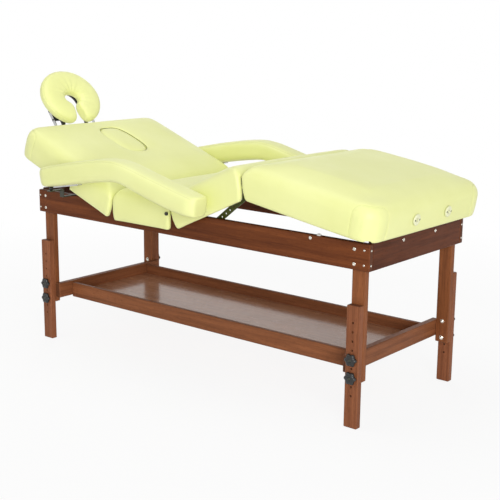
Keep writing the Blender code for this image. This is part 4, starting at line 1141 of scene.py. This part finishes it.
def ring_edge():
    """Looks at the ring's upper outer edge, from one tip round to the other."""
    starts, aims = [], []
    for step in range(RING_STEPS + 1):
        angle = (2.0 * step / RING_STEPS - 1.0) * (math.pi - RING_OPENING)
        ahead, aside = math.cos(angle), math.sin(angle)
        middle = Vector((-(RING_CENTRE + RING_HALF_LENGTH * ahead), RING_HALF_SPAN * aside,
                         RING_MIDDLE + RING_EDGE_HEIGHT))
        out = Vector((-ahead / RING_HALF_LENGTH, aside / RING_HALF_SPAN, 0.0)).normalized()
        look = -out - Vector((0.0, 0.0, RING_LOOK_DOWN))
        starts.append(middle + out * (RING_HALF_BAND - RING_EDGE_IN) - look * EDGE_LOOK_OFF)
        aims.append(look)
    return starts, aims


cradle_mesh = finer(cradle_holder)
gather(cradle_mesh)
ring_seam = thread("cradle_seam", [sewn(cradle_mesh, ring_edge, PAD_SEAM_WIDTH, PAD_SEAM_DEPTH)])
finish_piece("cradle_pad", cradle_mesh, VINYL_LOOK, "cradle", CRADLE_FRAME,
             ("cradle_cushion",))
finish_piece("cradle_pad_seam", ring_seam, SEAM_LOOK, "cradle", CRADLE_FRAME)
print("cradle cushion:", len(cradle_mesh.polygons), "faces")

# %% [markdown]
# ## Turned parts: knobs, bolts and socket rims
# A knob, a bolt head and a socket rim are all made on a lathe, so each is a profile of radius and height that
# the spin operator turns round an axis. The leg knobs get six lobes by pushing the points of the turned body
# in and out round its axis.

# %% Lathe helper
PROFILE_MERGE = 1e-6
LOBE_START = 0.6
SHARP_ANGLE = math.radians(38.0)


def turned(bm, profile, place, outward, steps, lobes=0, lobe_depth=0.0):
    """Spin a profile of (radius, height) points round an axis, lay it along outward at a place."""
    earlier = set(bm.verts)
    verts = [bm.verts.new((radius, 0.0, height)) for radius, height in profile]
    edges = [bm.edges.new(pair) for pair in zip(verts, verts[1:])]
    if profile[0][0] > 0.0:
        edges.append(bm.edges.new((verts[-1], verts[0])))
    bmesh.ops.spin(bm, geom=verts + edges, cent=(0, 0, 0), axis=(0, 0, 1), angle=2 * math.pi, steps=steps,
                   use_merge=True)
    bmesh.ops.remove_doubles(bm, verts=[v for v in bm.verts if v not in earlier], dist=PROFILE_MERGE)
    fresh = [v for v in bm.verts if v not in earlier]
    if lobes:
        inner = LOBE_START * max(radius for radius, height in profile)
        for v in fresh:
            if math.hypot(v.co.x, v.co.y) > inner:
                grow = 1.0 + lobe_depth * math.cos(lobes * math.atan2(v.co.y, v.co.x))
                v.co.x *= grow
                v.co.y *= grow
    turn = Vector((0, 0, 1)).rotation_difference(Vector(outward)).to_matrix().to_4x4()
    bmesh.ops.transform(bm, matrix=Matrix.Translation(Vector(place)) @ turn, verts=fresh)


def lathe_piece(name, bm, look, body, to_world=None, replaced=()):
    """Turn a shape's faces outwards, keep its sharp edges, and finish it."""
    bmesh.ops.recalc_face_normals(bm, faces=bm.faces)
    mesh = bmesh_to_mesh(name, bm)
    mesh.shade_smooth()
    mesh.set_sharp_from_angle(angle=SHARP_ANGLE)
    return finish_piece(name, mesh, look, body, to_world, replaced)


print("lathe ready")

# %% Leg knobs
KNOB_PROFILE = ((0.0, 0.0135), (0.0065, 0.0135), (0.0075, 0.0150), (0.0105, 0.0158), (0.0165, 0.0152),
                (0.0205, 0.0128), (0.0222, 0.0095), (0.0222, 0.0050), (0.0205, 0.0020), (0.0160, 0.0004),
                (0.0105, 0.0002), (0.0, 0.0002))
BOLT_PROFILE = ((0.0, 0.004), (0.0045, 0.004), (0.0045, -0.0380), (0.0036, -0.0388), (0.0, -0.0388))
INSERT_PROFILE = ((0.0, 0.0148), (0.0048, 0.0148), (0.0056, 0.0142), (0.0056, 0.0125), (0.0, 0.0125))
KNOB_LOBES = 6
KNOB_LOBE_DEPTH = 0.115
KNOB_STEPS, SHANK_STEPS, INSERT_STEPS = 60, 16, 20


def knob_face(node, sign):
    """The point of a leg knob's axis on the face of its leg."""
    low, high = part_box(node)
    leg_low, leg_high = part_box(node.replace("leg_knob", "sliding_leg").rsplit("_", 1)[0])
    y = leg_low.y if sign < 0 else leg_high.y
    middle = (low + high) / 2
    return Vector((middle.x, y, middle.z))


for end in ("head", "foot"):
    for side, sign in (("near", -1), ("far", 1)):
        for level in ("lower", "upper"):
            node = f"leg_knob_{end}_{side}_{level}"
            body = f"knob_{end}_{side}_{level}"
            place = knob_face(node, sign)
            outward = (0.0, sign, 0.0)
            knob, insert = bmesh.new(), bmesh.new()
            turned(knob, KNOB_PROFILE, place, outward, KNOB_STEPS, KNOB_LOBES, KNOB_LOBE_DEPTH)
            turned(knob, BOLT_PROFILE, place, outward, SHANK_STEPS)
            turned(insert, INSERT_PROFILE, place, outward, INSERT_STEPS)
            lathe_piece(f"star_knob_{end}_{side}_{level}", knob, BLACK_LOOK, body,
                        replaced=(node,))
            lathe_piece(f"knob_insert_{end}_{side}_{level}", insert, DARK_STEEL_LOOK, body)
print("leg knobs: 8")

# %% [markdown]
# ## Bolts and screws
# The rails are bolted to the legs and screwed to each other, so every rail end shows bright heads on two
# faces. The heads stand on the wood with their edges sunk a millimetre into it. One mesh holds them all,
# because they never move apart.

# %% Frame bolts
FRAME_MIDDLE = 0.096918
RAIL_FACE = 0.330
END_FACE = 0.870
BOLT_HEAD = ((0.0, 0.0016), (0.0022, 0.0016), (0.0024, 0.0034), (0.0046, 0.0032), (0.0064, 0.0018),
             (0.0068, 0.0), (0.0068, -0.001), (0.0, -0.001))
SCREW_HEAD = ((0.0, 0.0006), (0.0014, 0.0006), (0.0016, 0.0016), (0.0036, 0.0010), (0.0042, 0.0),
              (0.0042, -0.001), (0.0, -0.001))
BOLT_STEPS, SCREW_STEPS = 18, 16
LEG_BOLT_X = {-1: 0.8245, 1: 0.808}
END_SCREW_X = {-1: 0.860, 1: 0.848}
BOLT_HEIGHTS = (0.648, 0.595)
RAIL_BOLT = (0.6194, 0.661)
END_BOLT_Y = 0.112
END_BOLT_Z = 0.655
SAWN_END_Y = 0.319

heads = bmesh.new()
for sign in (-1, 1):
    outward, face = (0.0, sign, 0.0), sign * RAIL_FACE
    for end_sign in (-1, 1):
        bolt_x = end_sign * LEG_BOLT_X[end_sign] + FRAME_MIDDLE
        screw_x = end_sign * END_SCREW_X[end_sign] + FRAME_MIDDLE
        for z in BOLT_HEIGHTS:
            turned(heads, BOLT_HEAD, (bolt_x, face, z), outward, BOLT_STEPS)
            turned(heads, SCREW_HEAD, (screw_x, face, z), outward, SCREW_STEPS)
    turned(heads, BOLT_HEAD, (RAIL_BOLT[0] + FRAME_MIDDLE, face, RAIL_BOLT[1]), outward, BOLT_STEPS)
for end_sign in (-1, 1):
    end_x, outward = end_sign * END_FACE + FRAME_MIDDLE, (end_sign, 0.0, 0.0)
    for y in (-END_BOLT_Y, END_BOLT_Y):
        turned(heads, BOLT_HEAD, (end_x, y, END_BOLT_Z), outward, BOLT_STEPS)
    for y in (-SAWN_END_Y, SAWN_END_Y):
        for z in BOLT_HEIGHTS:
            turned(heads, SCREW_HEAD, (end_x, y, z), outward, SCREW_STEPS)
print("bolt and screw heads:", len(heads.faces), "faces")
lathe_piece("frame_bolts", heads, NICKEL_LOOK, "frame")

# %% [markdown]
# ## Cap nuts and bumpers
# On the inner face of each leg, a cap nut on a washer stands opposite each knob. A nut is three turned
# shapes, and six steps of the spin make its hexagon. A small white bumper stands on each side rail under
# the leg section.

# %% Nuts and bumpers
LEG_MIDDLE = 0.82
LEG_INNER_FACE = 0.292
NUT_HEIGHTS = (0.187, 0.2542)
NUT_WASHER = ((0.0, 0.0012), (0.0082, 0.0012), (0.0086, 0.0008), (0.0086, -0.0005), (0.0, -0.0005))
NUT_HEX = ((0.0, 0.0050), (0.0060, 0.0050), (0.0067, 0.0044), (0.0067, 0.0010), (0.0, 0.0010))
NUT_CAP = ((0.0, 0.0086), (0.0020, 0.0084), (0.0038, 0.0074), (0.0047, 0.0058), (0.0047, 0.0045),
           (0.0, 0.0045))
NUT_SHAPES = ((NUT_WASHER, 28), (NUT_HEX, 6), (NUT_CAP, 20))
BUMPER_PLACE = (0.6491, 0.319, 0.672)
BUMPER = ((0.0, 0.0054), (0.0058, 0.0054), (0.0074, 0.0046), (0.0082, 0.0030), (0.0084, 0.0),
          (0.0084, -0.0005), (0.0, -0.0005))
BUMPER_STEPS = 24

nuts, bumpers = bmesh.new(), bmesh.new()
for sign in (-1, 1):
    for end_sign in (-1, 1):
        for z in NUT_HEIGHTS:
            place = (end_sign * LEG_MIDDLE + FRAME_MIDDLE, sign * LEG_INNER_FACE, z)
            for profile, steps in NUT_SHAPES:
                turned(nuts, profile, place, (0.0, -sign, 0.0), steps)
    place = (BUMPER_PLACE[0] + FRAME_MIDDLE, sign * BUMPER_PLACE[1], BUMPER_PLACE[2])
    turned(bumpers, BUMPER, place, (0.0, 0.0, 1.0), BUMPER_STEPS)
print("nuts:", len(nuts.faces), "faces, bumpers:", len(bumpers.faces), "faces")
lathe_piece("leg_cap_nuts", nuts, NICKEL_LOOK, "frame")
lathe_piece("rail_bumpers", bumpers, WHITE_LOOK, "frame")

# %% [markdown]
# ## Clamp knobs and strap studs
# A small black knob clamps each armrest's stud, and a larger one clamps the face cradle's tilt. Both are
# turned with shallow lobes for the fingers. A black stud holds each armrest's strap at the gap between
# the seat and the thigh section.

# %% Armrest and cradle knobs
ARM_KNOB = ((0.0040, 0.0144), (0.0052, 0.0144), (0.0070, 0.0134), (0.0080, 0.0112), (0.0082, 0.0075),
            (0.0078, 0.0045), (0.0064, 0.0022), (0.0060, 0.0), (0.0040, 0.0))
ARM_KNOB_LOBES, ARM_LOBE_DEPTH = 10, 0.03
STRAP_STUD = ((0.0, 0.0052), (0.0030, 0.0050), (0.0056, 0.0040), (0.0072, 0.0018), (0.0074, -0.0036),
              (0.0, -0.0036))
STRAP_STUD_Y = 0.405
STUD_STEPS = 24
CRADLE_KNOB = ((0.0, 0.0190), (0.0040, 0.0194), (0.0085, 0.0205), (0.0108, 0.0192), (0.0118, 0.0155),
               (0.0118, 0.0070), (0.0104, 0.0042), (0.0072, 0.0030), (0.0062, 0.0), (0.0, 0.0))
CRADLE_KNOB_LOBES, CRADLE_LOBE_DEPTH = 5, 0.09

for side in ("near", "far"):
    node = f"armrest_knob_{side}"
    low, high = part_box(node)
    middle = (low + high) / 2
    knob = bmesh.new()
    turned(knob, ARM_KNOB, (middle.x, middle.y, low.z), (0.0, 0.0, 1.0), KNOB_STEPS, ARM_KNOB_LOBES,
           ARM_LOBE_DEPTH)
    lathe_piece(f"arm_clamp_knob_{side}", knob, BLACK_LOOK, node, replaced=(node,))
low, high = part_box("cradle_knob")
middle = (low + high) / 2
knob = bmesh.new()
turned(knob, CRADLE_KNOB, (middle.x, high.y, middle.z), (0.0, -1.0, 0.0), KNOB_STEPS, CRADLE_KNOB_LOBES,
       CRADLE_LOBE_DEPTH)
lathe_piece("cradle_clamp_knob", knob, BLACK_LOOK, "cradle_knob", replaced=("cradle_knob",))
studs = bmesh.new()
stud_x, stud_z = hinge_places["thigh_hinge"][0], hinge_places["thigh_hinge"][2]
for sign in (-1, 1):
    turned(studs, STRAP_STUD, (stud_x, sign * STRAP_STUD_Y, stud_z), (0.0, sign, 0.0), STUD_STEPS)
lathe_piece("arm_strap_studs", studs, BLACK_LOOK, "frame")
print("clamp knobs: 3, strap studs: 2")

# %% [markdown]
# ## The cradle's side bars
# A flat steel bar with round ends runs along each side of the cradle's platform and is bolted to it. A cube
# scaled to the bar's size has four short edges across it, and a bevel on these alone rounds the ends.

# %% Cradle side bars
SIDE_BAR_SPAN = (-0.092, -0.007)
SIDE_BAR_Y = (0.1145, 0.1185)
SIDE_BAR_Z = (0.002, 0.0165)
SIDE_BAR_ROUND, SIDE_BAR_SEGMENTS = 0.0062, 6
SIDE_BAR_BOLTS = (-0.084, -0.040)
SIDE_BOLT = ((0.0, 0.0010), (0.0016, 0.0010), (0.0018, 0.0026), (0.0036, 0.0022), (0.0044, 0.0008),
             (0.0044, -0.0005), (0.0, -0.0005))

bars, bolts = bmesh.new(), bmesh.new()
for sign in (-1, 1):
    low = Vector((SIDE_BAR_SPAN[0], sign * SIDE_BAR_Y[0], SIDE_BAR_Z[0]))
    high = Vector((SIDE_BAR_SPAN[1], sign * SIDE_BAR_Y[1], SIDE_BAR_Z[1]))
    size = high - low
    made = bmesh.ops.create_cube(bars, size=1.0)
    bmesh.ops.scale(bars, verts=made["verts"], vec=(size.x, abs(size.y), size.z))
    bmesh.ops.translate(bars, verts=made["verts"], vec=(low + high) / 2)
    corners = [edge for edge in {e for v in made["verts"] for e in v.link_edges}
               if abs(edge.verts[0].co.y - edge.verts[1].co.y) > abs(size.y) / 2]
    bmesh.ops.bevel(bars, geom=corners, offset=SIDE_BAR_ROUND, offset_type="OFFSET", affect="EDGES",
                    segments=SIDE_BAR_SEGMENTS, profile=0.5, material=-1)
    for x in SIDE_BAR_BOLTS:
        turned(bolts, SIDE_BOLT, (x, high.y, (low.z + high.z) / 2), (0.0, sign, 0.0), BOLT_STEPS)
lathe_piece("cradle_side_bars", bars, STEEL_LOOK, "cradle", CRADLE_FRAME)
lathe_piece("cradle_side_bolts", bolts, BLACK_LOOK, "cradle", CRADLE_FRAME)
print("cradle side bars: 2")

# %% [markdown]
# ## Socket rims
# The face cradle's rods push into two sockets at either end of the table. Each socket has a flat cream
# flange with a raised rim round its hole and two dark screws. The rim is a turned ring, so its profile is
# closed instead of ending on the axis.

# %% Socket rims and screws
SOCKET_Y = 0.112
SOCKET_Z = -0.013
FLANGE_FACE = 0.0043
RIM_PROFILE = ((0.0076, -0.0004), (0.0078, 0.0012), (0.0100, 0.0020), (0.0180, 0.0018), (0.0206, 0.0006),
               (0.0210, -0.0004))
RIM_SCREW = ((0.0, 0.0022), (0.0016, 0.0022), (0.0019, 0.0030), (0.0031, 0.0026), (0.0034, 0.0012),
             (0.0, 0.0012))
RIM_SCREW_Y = 0.0143
RIM_STEPS, RIM_SCREW_STEPS = 40, 14
SOCKET_ENDS = (("head", "back", BACK_FRAME, -BACK_LENGTH, -1), ("foot", "leg", LEG_FRAME, LEG_LENGTH, 1))

for name, body, to_world, end, sign in SOCKET_ENDS:
    rims, screws = bmesh.new(), bmesh.new()
    for y in (-SOCKET_Y, SOCKET_Y):
        x = end + sign * FLANGE_FACE
        turned(rims, RIM_PROFILE, (x, y, SOCKET_Z), (sign, 0.0, 0.0), RIM_STEPS)
        for off in (-RIM_SCREW_Y, RIM_SCREW_Y):
            turned(screws, RIM_SCREW, (x, y + off, SOCKET_Z), (sign, 0.0, 0.0), RIM_SCREW_STEPS)
    lathe_piece(f"{name}_socket_rims", rims, CREAM_LOOK, body, to_world)
    lathe_piece(f"{name}_socket_screws", screws, DARK_STEEL_LOOK, body, to_world)
print("socket rims: 4")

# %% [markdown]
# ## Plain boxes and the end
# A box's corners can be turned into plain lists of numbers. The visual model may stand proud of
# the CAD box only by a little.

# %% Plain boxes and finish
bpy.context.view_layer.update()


def plain(box):
    return [[float(value) for value in corner] for corner in box]
